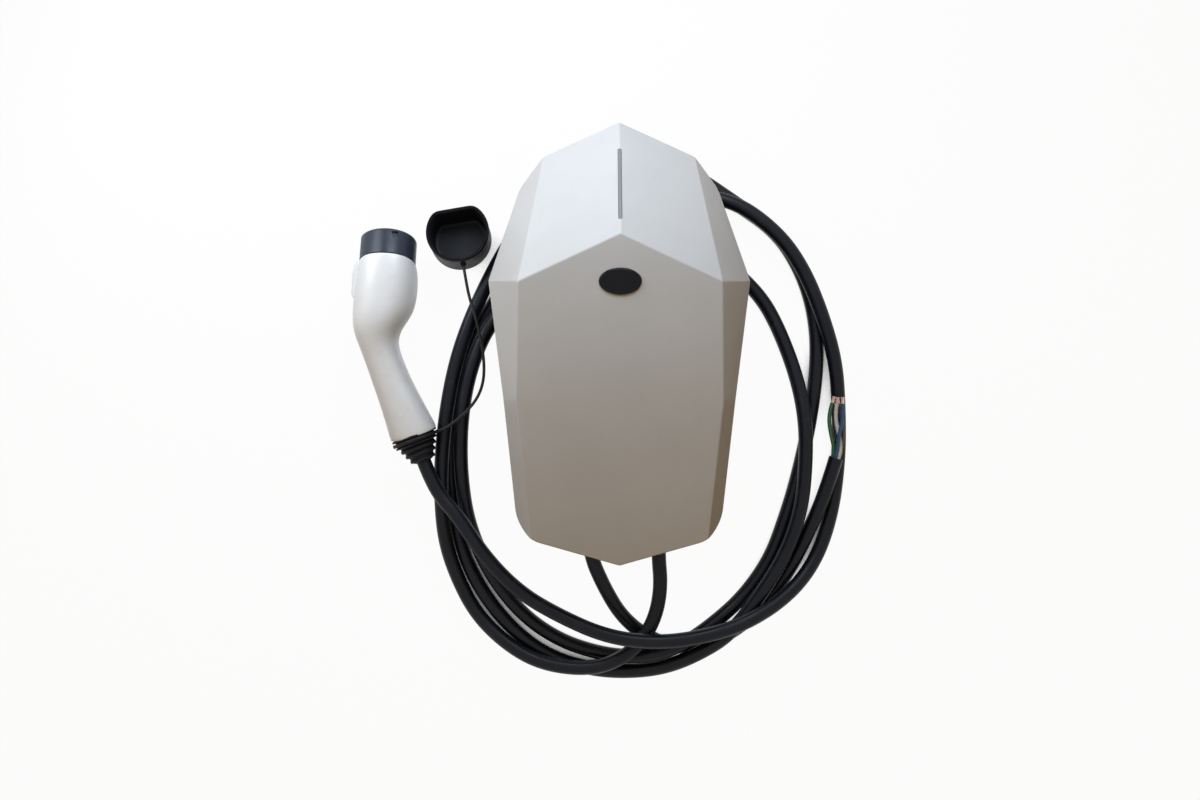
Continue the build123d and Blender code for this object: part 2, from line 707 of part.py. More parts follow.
# the cap leans over; a tab on its wall and a lug on the boot's ring hold the strap
cap_plane = Plane(
    origin=cap_base,
    x_dir=(cos(radians(cap_turn)), sin(radians(cap_turn)), 0),
    z_dir=(cap_lean_side * tan(radians(cap_lean)), tan(radians(cap_lean)), 1),
)
tab_out = -cap_plane.y_dir
tab_root = Vector(*cap_base) + cap_plane.z_dir * tab_height + tab_out * cap_width / 2
tab_end = tab_root + tab_out * strap_tab_length
boot_plane = Plane(origin=boot_start, x_dir=(0, 0, 1), z_dir=Vector(*boot_end) - Vector(*boot_start))
lug_out = Vector(0, 0, 1).cross(boot_plane.z_dir).normalized()
ring_start = boot_ribs[0][0]
lug_root = Vector(*boot_start) + boot_plane.z_dir * (ring_start + boot_ribs[1][0] / 2)
lug_end = lug_root + lug_out * (ring_diameter / 2 + strap_tab_length)
strap_route = [tuple(tab_end), tuple(tab_end + tab_out * strap_stub)] + strap_middle
strap_route += [tuple(lug_end + lug_out * strap_stub), tuple(lug_end)]

cords = [("charge_cable", charge_route, cable_diameter), ("supply_cable", supply_route, cable_diameter)]
cords += [("cap_strap", strap_route, strap_diameter)]
jacket_end = Vector(*supply_route[-1])
jacket_plane = Plane(origin=jacket_end, x_dir=(-0.966, 0.259, 0), z_dir=jacket_end - Vector(*supply_route[-2]))
core_ends = []
for name, (angle, points) in core_routes.items():
    place = (core_ring * cos(radians(angle)), core_ring * sin(radians(angle)))
    first_run = [tuple(jacket_plane.from_local_coords((*place, reach))) for reach in (0, core_stub)]
    cords.append((name, first_run + points, core_diameter))
    core_ends.append(Plane(origin=points[-1], z_dir=Vector(*points[-1]) - Vector(*points[-2])))

for name, route, diameter in cords:
    tube, length, radius, share = tube_on(route, diameter)
    tube.part.label = name
    export_step(tube.part, "parts/" + name + ".step")
    print(name, "length", round(length), "least radius", round(radius, 1), "volume share", round(share, 4))

with BuildPart() as bare_tips:
    for end in core_ends:
        with BuildSketch(end):
            Circle(bare_diameter / 2)
        extrude(amount=bare_length)
bare_tips.part.label = "bare_tips"
export_step(bare_tips.part, "parts/bare_tips.step")


nose_axis = Vector(0, cos(radians(nose_dip)), -sin(radians(nose_dip)))
tip_plane = Plane(origin=nose_tip, x_dir=(0, -sin(radians(nose_dip)), -cos(radians(nose_dip))), z_dir=nose_axis)
rim_plane = tip_plane.offset(-nose_length)
insert_step = shell_wall + nose_insert_gap
power_places = [(0, -1), (-15.5, -1), (15.5, -1), (-8.2, -14), (8.2, -14)]
signal_places = [(-7.6, 11), (7.6, 11)]


def flattened_disc(diameter, flat):
    with BuildSketch() as disc:
        Circle(diameter / 2)
        with Locations((0, flat + diameter / 2)):
            Rectangle(2 * diameter, diameter, mode=Mode.SUBTRACT)
        fillet(disc.vertices(), 4)
    return disc.sketch


with BuildPart() as connector_nose:
    with BuildSketch(tip_plane):
        add(flattened_disc(nose_diameter, nose_flat))
    extrude(amount=-nose_length)
    fillet(connector_nose.faces().sort_by(Axis.Y)[-1].edges(), nose_round)
    with BuildSketch(rim_plane):
        add(flattened_disc(nose_diameter - 2 * insert_step, nose_flat - insert_step))
    extrude(amount=-nose_insert)
    with BuildSketch(tip_plane):
        add(flattened_disc(nose_diameter - 2 * nose_round, nose_flat - nose_round))
        with Locations(power_places):
            Circle(power_sleeve / 2 + sleeve_wall + socket_wall, mode=Mode.SUBTRACT)
        with Locations(signal_places):
            Circle(signal_sleeve / 2 + sleeve_wall + socket_wall, mode=Mode.SUBTRACT)
    extrude(amount=-nose_recess, mode=Mode.SUBTRACT)
    with BuildSketch(tip_plane):
        with Locations(power_places):
            Circle(power_sleeve / 2 + sleeve_wall)
        with Locations(signal_places):
            Circle(signal_sleeve / 2 + sleeve_wall)
    extrude(amount=-nose_length, mode=Mode.SUBTRACT)
connector_nose.part.label = "connector_nose"
export_step(connector_nose.part, "parts/connector_nose.step")

for name, places, size in (("power_sleeves", power_places, power_sleeve), ("signal_sleeves", signal_places, signal_sleeve)):
    with BuildPart() as sleeves:
        with BuildSketch(tip_plane.offset(-nose_length)):
            with Locations(places):
                Circle(size / 2 + sleeve_wall)
        extrude(amount=sleeve_length)
        with BuildSketch(tip_plane.offset(-nose_length + 2)):
            with Locations(places):
                Circle(size / 2)
        extrude(amount=sleeve_length, mode=Mode.SUBTRACT)
    sleeves.part.label = name
    export_step(sleeves.part, "parts/" + name + ".step")

# stations of the connector's shell from its rim to the boot: centre, width, height
stations = [
    (tuple(rim_plane.origin), 60, 60),
    ((-232, 50, 41), 63, 61),
    ((-236.5, 18, 42), 58, 57),
    ((-232.5, -10, 41.5), 44, 46),
    ((-220.5, -48, 40.5), 40, 42),
    (boot_start, 47, 46),
]


def station_planes():
    centres = [Vector(*station[0]) for station in stations]
    planes = []
    for index, centre in enumerate(centres):
        if index == 0:
            run = -nose_axis
        elif index == len(centres) - 1:
            run = Vector(*boot_end) - Vector(*boot_start)
        else:
            run = centres[index + 1] - centres[index - 1]
        planes.append(Plane(origin=centre, x_dir=run.cross(Vector(0, 0, 1)), z_dir=run))
    return planes


def shell_form(inset):
    with BuildPart() as form:
        for plane, (centre, width, height) in zip(station_planes(), stations):
            with BuildSketch(plane):
                Ellipse(width / 2 - inset, height / 2 - inset)
        loft()
    return form.part


with BuildPart() as connector_shell:
    add(shell_form(0))
    add(shell_form(shell_wall), mode=Mode.SUBTRACT)
connector_shell.part.label = "connector_shell"
export_step(connector_shell.part, "parts/connector_shell.step")

with BuildPart() as bend_relief:
    reach = 0
    for length, diameter in boot_ribs:
        with BuildSketch(boot_plane.offset(reach)):
            Circle(diameter / 2)
        extrude(amount=length)
        reach += length
bend_relief.part.label = "bend_relief"
export_step(bend_relief.part, "parts/bend_relief.step")

with BuildPart() as strap_ring:
    with BuildSketch(boot_plane.offset(ring_start + ring_step / 2)):
        Circle(ring_diameter / 2)
        Circle(boot_ribs[1][1] / 2, mode=Mode.SUBTRACT)
    extrude(amount=boot_ribs[1][0] - ring_step)
    with BuildSketch(Plane(origin=lug_end, z_dir=-lug_out)):
        Circle(strap_diameter / 2 + 0.2)
    extrude(amount=strap_tab_length + 1)
strap_ring.part.label = "strap_ring"
export_step(strap_ring.part, "parts/strap_ring.step")

with BuildPart() as dust_cap:
    with BuildSketch(cap_plane):
        add(flattened_disc(cap_width, cap_flat))
    extrude(amount=cap_depth)
    fillet(dust_cap.faces().sort_by(Axis.Z)[0].edges(), cap_round)
    with BuildSketch(cap_plane.offset(cap_wall)):
        add(flattened_disc(cap_width - 2 * cap_wall, cap_flat - cap_wall))
    extrude(amount=cap_depth, mode=Mode.SUBTRACT)
    with BuildSketch(Plane(origin=tab_end, z_dir=-tab_out)):
        Circle(strap_tab / 2)
    extrude(amount=strap_tab_length + cap_wall / 2)
dust_cap.part.label = "dust_cap"
export_step(dust_cap.part, "parts/dust_cap.step")
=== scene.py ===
import math
import bmesh
import bpy
from mathutils import Matrix, Vector


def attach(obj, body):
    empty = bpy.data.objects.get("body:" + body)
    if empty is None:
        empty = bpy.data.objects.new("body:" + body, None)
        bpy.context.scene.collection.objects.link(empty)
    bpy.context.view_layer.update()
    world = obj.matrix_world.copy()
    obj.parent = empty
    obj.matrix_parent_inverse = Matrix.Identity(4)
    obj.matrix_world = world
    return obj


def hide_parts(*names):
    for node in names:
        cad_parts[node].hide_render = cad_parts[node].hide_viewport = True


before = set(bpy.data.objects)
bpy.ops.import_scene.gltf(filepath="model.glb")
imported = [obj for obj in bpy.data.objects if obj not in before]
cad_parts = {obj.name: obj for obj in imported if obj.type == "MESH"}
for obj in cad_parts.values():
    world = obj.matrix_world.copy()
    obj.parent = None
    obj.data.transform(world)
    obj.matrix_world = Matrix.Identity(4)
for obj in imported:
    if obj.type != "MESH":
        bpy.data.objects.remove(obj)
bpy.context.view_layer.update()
scene = bpy.context.scene
scene.view_settings.view_transform = "Standard"
mm = 0.001  # sizes below are in millimetres


# shader tools
class Socket:
    # one output of a shader node; an expression on it adds Math nodes
    def __init__(self, tree, out):
        self.tree = tree
        self.out = out

    def maths(self, operation, *values):
        node = self.tree.nodes.new("ShaderNodeMath")
        node.operation = operation
        for slot, value in zip(node.inputs, values):
            if isinstance(value, Socket):
                self.tree.links.new(value.out, slot)
            else:
                slot.default_value = value
        return Socket(self.tree, node.outputs[0])

    def __add__(self, other):
        return self.maths("ADD", self, other)

    def __radd__(self, other):
        return self.maths("ADD", other, self)

    def __sub__(self, other):
        return self.maths("SUBTRACT", self, other)

    def __rsub__(self, other):
        return self.maths("SUBTRACT", other, self)

    def __mul__(self, other):
        return self.maths("MULTIPLY", self, other)

    def __rmul__(self, other):
        return self.maths("MULTIPLY", other, self)


class Tree:
    # adds nodes to a material's or the world's tree
    def __init__(self, tree):
        self.tree = tree

    def node(self, kind, settings=None, sockets=None, out=0):
        made = self.tree.nodes.new(kind)
        for name, value in (settings or {}).items():
            setattr(made, name, value)
        for name, value in (sockets or {}).items():
            if isinstance(value, Socket):
                self.tree.links.new(value.out, made.inputs[name])
            else:
                made.inputs[name].default_value = value
        return None if out is None else Socket(self.tree, made.outputs[out])


class Finish(Tree):
    # one procedural material; what is the same all over is set on the shader itself
    def __init__(self, name, **fixed):
        self.material = bpy.data.materials.new(name)
        self.material.use_nodes = True
        super().__init__(self.material.node_tree)
        self.shader = self.tree.nodes["Principled BSDF"]
        for key, value in fixed.items():
            self.shader.inputs[shaderNames[key]].default_value = value
        self.place = self.node("ShaderNodeTexCoord", out="Object")
        self.bumps = None

    def noise(self, scale, detail=3.0, rough=0.5, stretch=None):
        where = self.place
        if stretch:
            where = self.node("ShaderNodeMapping", sockets={"Vector": where, "Scale": stretch})
        sockets = {"Vector": where, "Scale": scale, "Detail": detail, "Roughness": rough}
        return self.node("ShaderNodeTexNoise", sockets=sockets)

    def fit(self, value, low, high, newLow=0.0, newHigh=1.0):
        return self.node("ShaderNodeMapRange", {"interpolation_type": "SMOOTHSTEP"}, {
            "Value": value, "From Min": low, "From Max": high, "To Min": newLow, "To Max": newHigh})

    def mix(self, share, first, second):
        ends = [colour if isinstance(colour, Socket) else (*colour, 1.0) for colour in (first, second)]
        return self.node("ShaderNodeMix", {"data_type": "RGBA"}, {0: share, 6: ends[0], 7: ends[1]}, 2)

    def give(self, name, value):
        self.tree.links.new(value.out, self.shader.inputs[name])

    def bump(self, height, distance, strength=0.5):
        sockets = {"Height": height, "Distance": distance, "Strength": strength}
        if self.bumps:
            sockets["Normal"] = self.bumps
        self.bumps = self.node("ShaderNodeBump", sockets=sockets)
        self.give("Normal", self.bumps)


shaderNames = {
    "metallic": "Metallic", "specular": "Specular IOR Level",
    "coat": "Coat Weight", "coatRoughness": "Coat Roughness",
}
finishes = {}


# tints run from shade to light in soft clouds, with patches of dust over them; grain is its scale
# and its depth, and wave the depth of a slow unevenness, in millimetres
plastics = {
    "white": {
        "light": (0.685, 0.69, 0.7), "shade": (0.64, 0.645, 0.65), "dust": (0.6, 0.58, 0.54),
        "dustShare": 0.2, "rough": (0.4, 0.52), "grain": (1500, 0.05), "wave": 0.5, "coat": 0.08},
    "grip": {
        "light": (0.9, 0.93, 0.96), "shade": (0.85, 0.87, 0.9), "dust": (0.72, 0.71, 0.69),
        "dustShare": 0.35, "rough": (0.3, 0.44), "grain": (1300, 0.03), "wave": 0.3, "coat": 0.2},
    "nose": {
        "light": (0.027, 0.037, 0.06), "shade": (0.018, 0.025, 0.041), "dust": (0.035, 0.036, 0.04),
        "dustShare": 0.35, "rough": (0.3, 0.42), "grain": (1500, 0.04), "wave": 0.2, "specular": 0.3},
    "housing": {
        "light": (0.028, 0.028, 0.03), "shade": (0.018, 0.018, 0.02), "dust": (0.06, 0.058, 0.054),
        "dustShare": 0.5, "rough": (0.45, 0.62), "grain": (950, 0.08), "wave": 0.4, "specular": 0.35},
    "gland": {
        "light": (0.024, 0.024, 0.026), "shade": (0.014, 0.014, 0.016), "dust": (0.05, 0.048, 0.045),
        "dustShare": 0.4, "rough": (0.36, 0.52), "grain": (1400, 0.05), "wave": 0.2, "specular": 0.35},
    "boot": {
        "light": (0.012, 0.012, 0.015), "shade": (0.007, 0.007, 0.009), "dust": (0.03, 0.03, 0.03),
        "dustShare": 0.4, "rough": (0.45, 0.6), "grain": (1200, 0.06), "wave": 0.2, "specular": 0.2},
    "cap": {
        "light": (0.01, 0.011, 0.014), "shade": (0.006, 0.0065, 0.009), "dust": (0.024, 0.024, 0.026),
        "dustShare": 0.4, "rough": (0.42, 0.58), "grain": (1100, 0.06), "wave": 0.3, "specular": 0.15},
    # painted sheen: the black cable is tinted blue all over, standing in for the blue sheen of the light on
    # it
    "cable": {
        "light": (0.009, 0.011, 0.018), "shade": (0.005, 0.006, 0.01), "dust": (0.032, 0.031, 0.03),
        "dustShare": 0.5, "rough": (0.32, 0.46), "grain": (1000, 0.1), "wave": 0.6, "specular": 0.2},
    "strap": {
        "light": (0.018, 0.018, 0.02), "shade": (0.01, 0.01, 0.012), "dust": (0.04, 0.04, 0.04),
        "dustShare": 0.3, "rough": (0.4, 0.55), "grain": (1600, 0.04), "wave": 0.2, "specular": 0.25},
    "seal": {
        "light": (0.03, 0.03, 0.03), "shade": (0.018, 0.018, 0.018), "dust": (0.05, 0.05, 0.05),
        "dustShare": 0.4, "rough": (0.62, 0.8), "grain": (1800, 0.1), "wave": 0.2, "specular": 0.3},
    "component": {
        "light": (0.03, 0.03, 0.032), "shade": (0.018, 0.018, 0.02), "dust": (0.06, 0.06, 0.06),
        "dustShare": 0.2, "rough": (0.35, 0.5), "grain": (900, 0.05), "wave": 0.1},
    "terminal": {
        "light": (0.22, 0.33, 0.27), "shade": (0.17, 0.27, 0.22), "dust": (0.3, 0.36, 0.32),
        "dustShare": 0.2, "rough": (0.4, 0.55), "grain": (900, 0.05), "wave": 0.1},
    "light": {
        "light": (0.27, 0.285, 0.3), "shade": (0.23, 0.245, 0.26), "dust": (0.4, 0.42, 0.44),
        "dustShare": 0.2, "rough": (0.35, 0.5), "grain": (1200, 0.02), "wave": 0.1, "specular": 0.3},
    "badge": {
        "light": (0.008, 0.009, 0.012), "shade": (0.004, 0.0045, 0.007), "dust": (0.02, 0.02, 0.022),
        "dustShare": 0.25, "rough": (0.14, 0.26), "grain": (500, 0.02), "wave": 0.3, "coat": 0.06,
        "specular": 0.12},
}
corePlastic = {"dustShare": 0.3, "rough": (0.32, 0.45), "grain": (1500, 0.03), "wave": 0.2}
coreTints = {
    "coreGreen": {"light": (0.045, 0.17, 0.07), "shade": (0.025, 0.11, 0.042), "dust": (0.1, 0.2, 0.12)},
    "coreGrey": {"light": (0.97, 0.98, 0.98), "shade": (0.9, 0.92, 0.94), "dust": (0.6, 0.58, 0.58)},
    "coreBlue": {"light": (0.018, 0.12, 0.25), "shade": (0.012, 0.07, 0.16), "dust": (0.06, 0.14, 0.24)},
    "coreBrown": {"light": (0.1, 0.022, 0.022), "shade": (0.055, 0.012, 0.014), "dust": (0.14, 0.06, 0.05)},
    "coreBlack": {
        "light": (0.016, 0.015, 0.016), "shade": (0.009, 0.008, 0.009), "dust": (0.04, 0.04, 0.04)},
}
for name, tints in coreTints.items():
    plastics[name] = {**tints, **corePlastic}
# metals: streaks run along the axis with the small stretch
metals = {
    "steel": {
        "light": (0.64, 0.65, 0.67), "shade": (0.48, 0.48, 0.49),
        "rough": (0.25, 0.45), "scale": 700, "stretch": (1, 9, 1)},
    "silver": {
        "light": (0.84, 0.83, 0.80), "shade": (0.62, 0.60, 0.55),
        "rough": (0.18, 0.36), "scale": 260, "stretch": (1, 1, 1)},
    "brass": {
        "light": (0.74, 0.56, 0.26), "shade": (0.55, 0.38, 0.14),
        "rough": (0.25, 0.42), "scale": 1200, "stretch": (1, 1, 8)},
    "copper": {
        "light": (0.80, 0.62, 0.52), "shade": (0.50, 0.35, 0.28),
        "rough": (0.30, 0.50), "scale": 900, "stretch": (1, 1, 1)},
}
lacquer = {
    "dark": (0.012, 0.10, 0.045), "light": (0.02, 0.17, 0.075), "pad": (0.62, 0.60, 0.52),
    "trackScale": 130, "padScale": 420.0,
}
can = {"sleeve": (0.02, 0.02, 0.04), "top": (0.66, 0.67, 0.68), "sleeveEnd": (37.2, 37.4)}
# noise patterns that the finishes share: scale, detail and roughness
patterns = {
    "cloud": (9, 4, 0.6), "dust": (75, 5, 0.68), "wear": (36, 4, 0.62), "wave": (16, 2, 0.4),
    "stain": (120, 4, 0.6), "can": (300, 3, 0.6),
}


def makePlastic(name, look):
    fixed = {"coatRoughness": 0.3}
    fixed.update({key: look[key] for key in ("coat", "specular") if key in look})
    made = Finish(name + "Plastic", **fixed)
    cloud = made.fit(made.noise(*patterns["cloud"]), 0.3, 0.7)
    tint = made.mix(cloud, look["shade"], look["light"])
    settled = made.fit(made.noise(*patterns["dust"]), 0.52, 0.76) * look["dustShare"]
    made.give("Base Color", made.mix(settled, tint, look["dust"]))
    worn = made.fit(made.noise(*patterns["wear"]), 0.3, 0.7, *look["rough"])
    made.give("Roughness", worn + 0.12 * settled)
    grainScale, grainDepth = look["grain"]
    made.bump(made.noise(grainScale, 2, 0.55), grainDepth * mm)
    made.bump(made.noise(*patterns["wave"]), look["wave"] * mm, 0.2)
    return made.material


def makeMetal(name, look):
    made = Finish(name + "Metal", metallic=1.0)
    streak = made.noise(look["scale"], 3, 0.6, look["stretch"])
    stain = made.fit(made.noise(*patterns["stain"]), 0.35, 0.7)
    tone = made.fit(streak, 0.3, 0.7) * (1 - 0.4 * stain)
    made.give("Base Color", made.mix(tone, look["shade"], look["light"]))
    made.give("Roughness", made.fit(streak, 0.3, 0.7, *look["rough"]) + 0.08 * stain)
    made.bump(streak, 0.03 * mm)
    return made.material


def makeBoardFinish():
    # green lacquer over tracks, with tinned pads in a grid
    made = Finish("boardLacquer", coat=0.3, coatRoughness=0.15)
    tracks = made.fit(made.noise(lacquer["trackScale"], 2, 0.4, (1, 4, 1)), 0.49, 0.52)
    cells = {"Vector": made.place, "Scale": lacquer["padScale"]}
    pads = made.node("ShaderNodeTexVoronoi", {"feature": "F1"}, cells, "Distance")
    tint = made.mix(tracks, lacquer["dark"], lacquer["light"])
    made.give("Base Color", made.mix(made.fit(pads, 0.16, 0.12), tint, lacquer["pad"]))
    made.give("Roughness", 0.32 + 0.1 * tracks)
    made.bump(tracks, 0.04 * mm)
    return made.material


def makeCanFinish():
    # a dark sleeve on each can, with its bare aluminium top
    made = Finish("capacitorCan", metallic=0.9)
    height = made.node("ShaderNodeSeparateXYZ", sockets={"Vector": made.place}, out="Z")
    bare = made.fit(height, can["sleeveEnd"][0] * mm, can["sleeveEnd"][1] * mm)
    made.give("Base Color", made.mix(bare, can["sleeve"], can["top"]))
    made.give("Roughness", made.fit(made.noise(*patterns["can"]), 0.3, 0.7, 0.25, 0.42))
    return made.material


print("finishes")
for name, look in plastics.items():
    finishes[name] = makePlastic(name, look)
for name, look in metals.items():
    finishes[name] = makeMetal(name, look)
finishes["board"] = makeBoardFinish()
finishes["can"] = makeCanFinish()


# lengths under which points are one, where a cut tells sides apart, and below which an edge goes
tolerance = {"merge": 0.01, "cut": 0.001, "cutMerge": 0.02, "sliver": 0.05}


# modelling tools
def activate(piece):
    bpy.ops.object.select_all(action="DESELECT")
    piece.select_set(True)
    bpy.context.view_layer.objects.active = piece


def selectAll():
    bpy.ops.mesh.select_all(action="SELECT")


def bevel(radius, steps, kind="EDGES"):
    bpy.ops.mesh.bevel(offset=radius * mm, segments=steps, affect=kind)


def smooth(degrees):
    bpy.ops.object.shade_smooth_by_angle(angle=math.radians(degrees))


def editing(piece):
    activate(piece)
    bpy.ops.object.mode_set(mode="EDIT")


def done(smoothAngle=None, weighted=False):
    # closes the edit: doubles merged, faces outwards, shading by angle
    selectAll()
    bpy.ops.mesh.remove_doubles(threshold=tolerance["merge"] * mm)
    bpy.ops.mesh.normals_make_consistent(inside=False)
    bpy.ops.object.mode_set(mode="OBJECT")
    if smoothAngle:
        smooth(smoothAngle)
    if weighted:
        finishWith("WEIGHTED_NORMAL", keep_sharp=True, weight=100)


def pick(kind, test):
    # selects the vertices, edges or faces that pass the test, and nothing else
    bpy.ops.mesh.select_mode(type=kind)
    bpy.ops.mesh.select_all(action="DESELECT")
    mesh = bmesh.from_edit_mesh(bpy.context.object.data)
    mesh.normal_update()
    for element in {"VERT": mesh.verts, "EDGE": mesh.edges, "FACE": mesh.faces}[kind]:
        if test(element):
            element.select_set(True)
    mesh.select_flush_mode()
    bmesh.update_edit_mesh(bpy.context.object.data)


def finishWith(kind, **settings):
    # adds a modifier to the active piece and applies it
    piece = bpy.context.object
    modifier = piece.modifiers.new(kind.lower(), kind)
    for name, value in settings.items():
        setattr(modifier, name, value)
    bpy.ops.object.modifier_apply(modifier=modifier.name)


def opened(name, finish):
    # the primitive that was just added, with its name and finish, open for editing
    piece = bpy.context.object
    piece.name = name
    piece.data.name = name
    piece.data.materials.append(finishes[finish])
    editing(piece)
    bpy.ops.mesh.select_mode(type="VERT")
    selectAll()
    return piece


def circle(name, finish, radius, sides, filled=True):
    # a ring of vertices on the piece's own axis
    bpy.ops.object.select_all(action="DESELECT")
    fill = "NGON" if filled else "NOTHING"
    bpy.ops.mesh.primitive_circle_add(vertices=sides, radius=radius * mm, fill_type=fill)
    return opened(name, finish)


def outline(name, finish, places):
    # a face through the places in turn
    piece = circle(name, finish, 10, len(places))
    mesh = bmesh.from_edit_mesh(piece.data)
    for vertex, place in zip(mesh.verts, places):
        vertex.co = [part * mm for part in place]
    bmesh.update_edit_mesh(piece.data)
    selectAll()
    return piece


def push(distance, size=1.0, height=0.0):
    # extrudes the selection up the axis and scales its new end, which lies at the height
    bpy.ops.mesh.extrude_region_move(TRANSFORM_OT_translate={"value": (0, 0, distance * mm)})
    if abs(size - 1) > 1e-6:
        bpy.ops.transform.resize(value=(size, size, size), center_override=(0, 0, height * mm))


def rise(profile):
    # extrudes the selection through the profile, which is (size, height) in turn
    for (size, height), (nextSize, nextHeight) in zip(profile, profile[1:]):
        push(nextHeight - height, nextSize / size, nextHeight)


def lathe(name, finish, profile, sides, smoothAngle=40, filled=True, scaled=1.0):
    # a turned form about +Z, by radius and height
    piece = circle(name, finish, profile[0][0], sides, filled)
    bpy.ops.transform.translate(value=(0, 0, profile[0][1] * mm))
    if scaled != 1.0:
        bpy.ops.transform.resize(value=(1, scaled, 1))
    rise(profile)
    done(smoothAngle)
    return piece


def setPlace(piece, origin, axis, along):
    # turns the piece's own +Z to the axis and +X along, and moves it to the origin
    zAxis = Vector(axis).normalized()
    xAxis = Vector(along)
    xAxis = (xAxis - zAxis * xAxis.dot(zAxis)).normalized()
    turn = Matrix((xAxis, zAxis.cross(xAxis), zAxis)).transposed().to_4x4()
    piece.matrix_world = Matrix.Translation(Vector(origin) * mm) @ turn
    activate(piece)
    bpy.ops.object.transform_apply(location=True, rotation=True, scale=True)
    return piece


def cutBy(piece, cutter):
    activate(piece)
    finishWith("BOOLEAN", operation="DIFFERENCE", solver="EXACT", object=cutter)
    bpy.data.objects.remove(cutter)


def copyOf(piece, name):
    made = piece.copy()
    made.data = piece.data.copy()
    made.name = name
    scene.collection.objects.link(made)
    return made


def joined(pieces):
    activate(pieces[0])
    for piece in pieces:
        piece.select_set(True)
    bpy.ops.object.join()
    return pieces[0]


def mirrored(point):
    return (-point[0], *point[1:])


# front cover
cover = {
    "depth": 150, "ridgeY": 96.5, "fall": 11, "rim": 59.5, "wall": 3,
    "apex": (0, 212, 84), "cornerPlace": (93.5, 54), "widest": (125.5, 60, 84),
    "shoulder": (73, 180.5), "temple": (97, 153), "waist": (110, -54), "waistCrease": 96.5,
    "hip": (99.5, -168), "foot": (86, -187), "footCrease": 84.5, "toe": (0, -212),
    "firmRound": 14, "softRound": 5, "footRound": 30, "roundSteps": 6,
    "creaseRound": 1.3, "creaseSteps": 4, "leastCrease": 0.02, "facetSlope": 0.1,
    "edgeRound": 0.8, "edgeSteps": 3, "leastEdge": 0.3, "openBelow": 2, "play": 0.3, "slotCut": (-14, 4),
}


def frontHeight(y):
    return cover["depth"] - (cover["ridgeY"] - y) * math.tan(math.radians(cover["fall"]))


def planeThrough(a, b, c):
    normal = (Vector(b) - Vector(a)).cross(Vector(c) - Vector(a)).normalized()
    return Vector(a), normal if normal.z > 0 else -normal


def heightOn(plane, x, y):
    origin, normal = plane
    return origin.z - (normal.x * (x - origin.x) + normal.y * (y - origin.y)) / normal.z


# corners of the facets on the right-hand side, and the planes that they give
peak = (0, cover["ridgeY"], cover["depth"])
corner = (*cover["cornerPlace"], frontHeight(cover["cornerPlace"][1]))
waistCrease = (cover["waistCrease"], cover["waist"][1], frontHeight(cover["waist"][1]))
footCrease = (cover["footCrease"], cover["foot"][1], frontHeight(cover["foot"][1]))
frontPlane = planeThrough(peak, corner, mirrored(corner))
upperPlane = planeThrough(peak, corner, cover["apex"])
shoulder = (*cover["shoulder"], heightOn(upperPlane, *cover["shoulder"]))
templePlane = planeThrough(corner, shoulder, cover["widest"])
flankPlane = planeThrough(corner, cover["widest"], waistCrease)
waist = (*cover["waist"], heightOn(flankPlane, *cover["waist"]))
haunchPlane = planeThrough(waistCrease, waist, footCrease)
rightPlanes = [upperPlane, templePlane, flankPlane, haunchPlane]
leftPlanes = [tuple(Vector(mirrored(v)) for v in plane) for plane in rightPlanes]
ridgeFall = math.atan2(cover["depth"] - cover["apex"][2], cover["apex"][1] - cover["ridgeY"])
ridgeNormal = (0, math.sin(ridgeFall), math.cos(ridgeFall))


def inwards(loop, inset):
    # the outline moved in by an even distance
    moved = []
    for index, here in enumerate(loop):
        before, after = Vector(loop[index - 1]), Vector(loop[(index + 1) % len(loop)])
        first, second = (Vector(here) - before).normalized(), (after - Vector(here)).normalized()
        first, second = Vector((-first.y, first.x)), Vector((-second.y, second.x))
        moved.append(Vector(here) - (first + second) * inset / (1 + first.dot(second)))
    return moved


def makeBlock(name, inset, bottom):
    # the cover's outline, raised and cut by the planes of its facets
    right = [cover[word][:2] for word in ("shoulder", "temple", "widest", "waist", "hip", "foot")]
    loop = [cover["apex"][:2]] + right + [cover["toe"]] + [mirrored(point) for point in reversed(right)]
    piece = outline(name, "white", [(x, y, bottom) for x, y in inwards(loop, inset)])
    soft = [cover["apex"][1], cover["widest"][1], cover["toe"][1]]
    for index, here in enumerate(loop):  # the corners of the outer outline are rounded
        if inset or here[1] == cover["waist"][1]:
            continue
        here = Vector(here)
        before, after = Vector(loop[index - 1]), Vector(loop[(index + 1) % len(loop)])
        half = (before - here).angle(after - here) / 2
        below = "footRound" if here.y < cover["waist"][1] else "firmRound"
        reach = cover["softRound" if here.y in soft else below] / math.tan(half)
        pick("VERT", lambda v: (v.co.xy - here * mm).length < tolerance["merge"] * mm)
        bevel(reach, cover["roundSteps"], "VERTICES")
    selectAll()
    push(cover["depth"])
    for origin, normal in [frontPlane] + rightPlanes + leftPlanes:
        selectAll()
        bpy.ops.mesh.bisect(
            plane_co=(origin - normal * inset) * mm, plane_no=normal,
            threshold=tolerance["cut"] * mm, use_fill=True, clear_outer=True)
    selectAll()
    bpy.ops.mesh.remove_doubles(threshold=tolerance["cutMerge"] * mm)
    bpy.ops.mesh.normals_make_consistent(inside=False)
    return piece


def facetCount(edge):
    # how many of the edge's faces are facets, and not the upright wall
    return sum(face.normal.z > cover["facetSlope"] for face in edge.link_faces)


def isCrease(edge):
    return facetCount(edge) == 2 and edge.calc_face_angle() > cover["leastCrease"]


def isWallTop(edge):
    raised = min(vertex.co.z for vertex in edge.verts) > (cover["rim"] + 1) * mm
    return facetCount(edge) == 1 and raised and edge.calc_face_angle() > cover["leastEdge"]


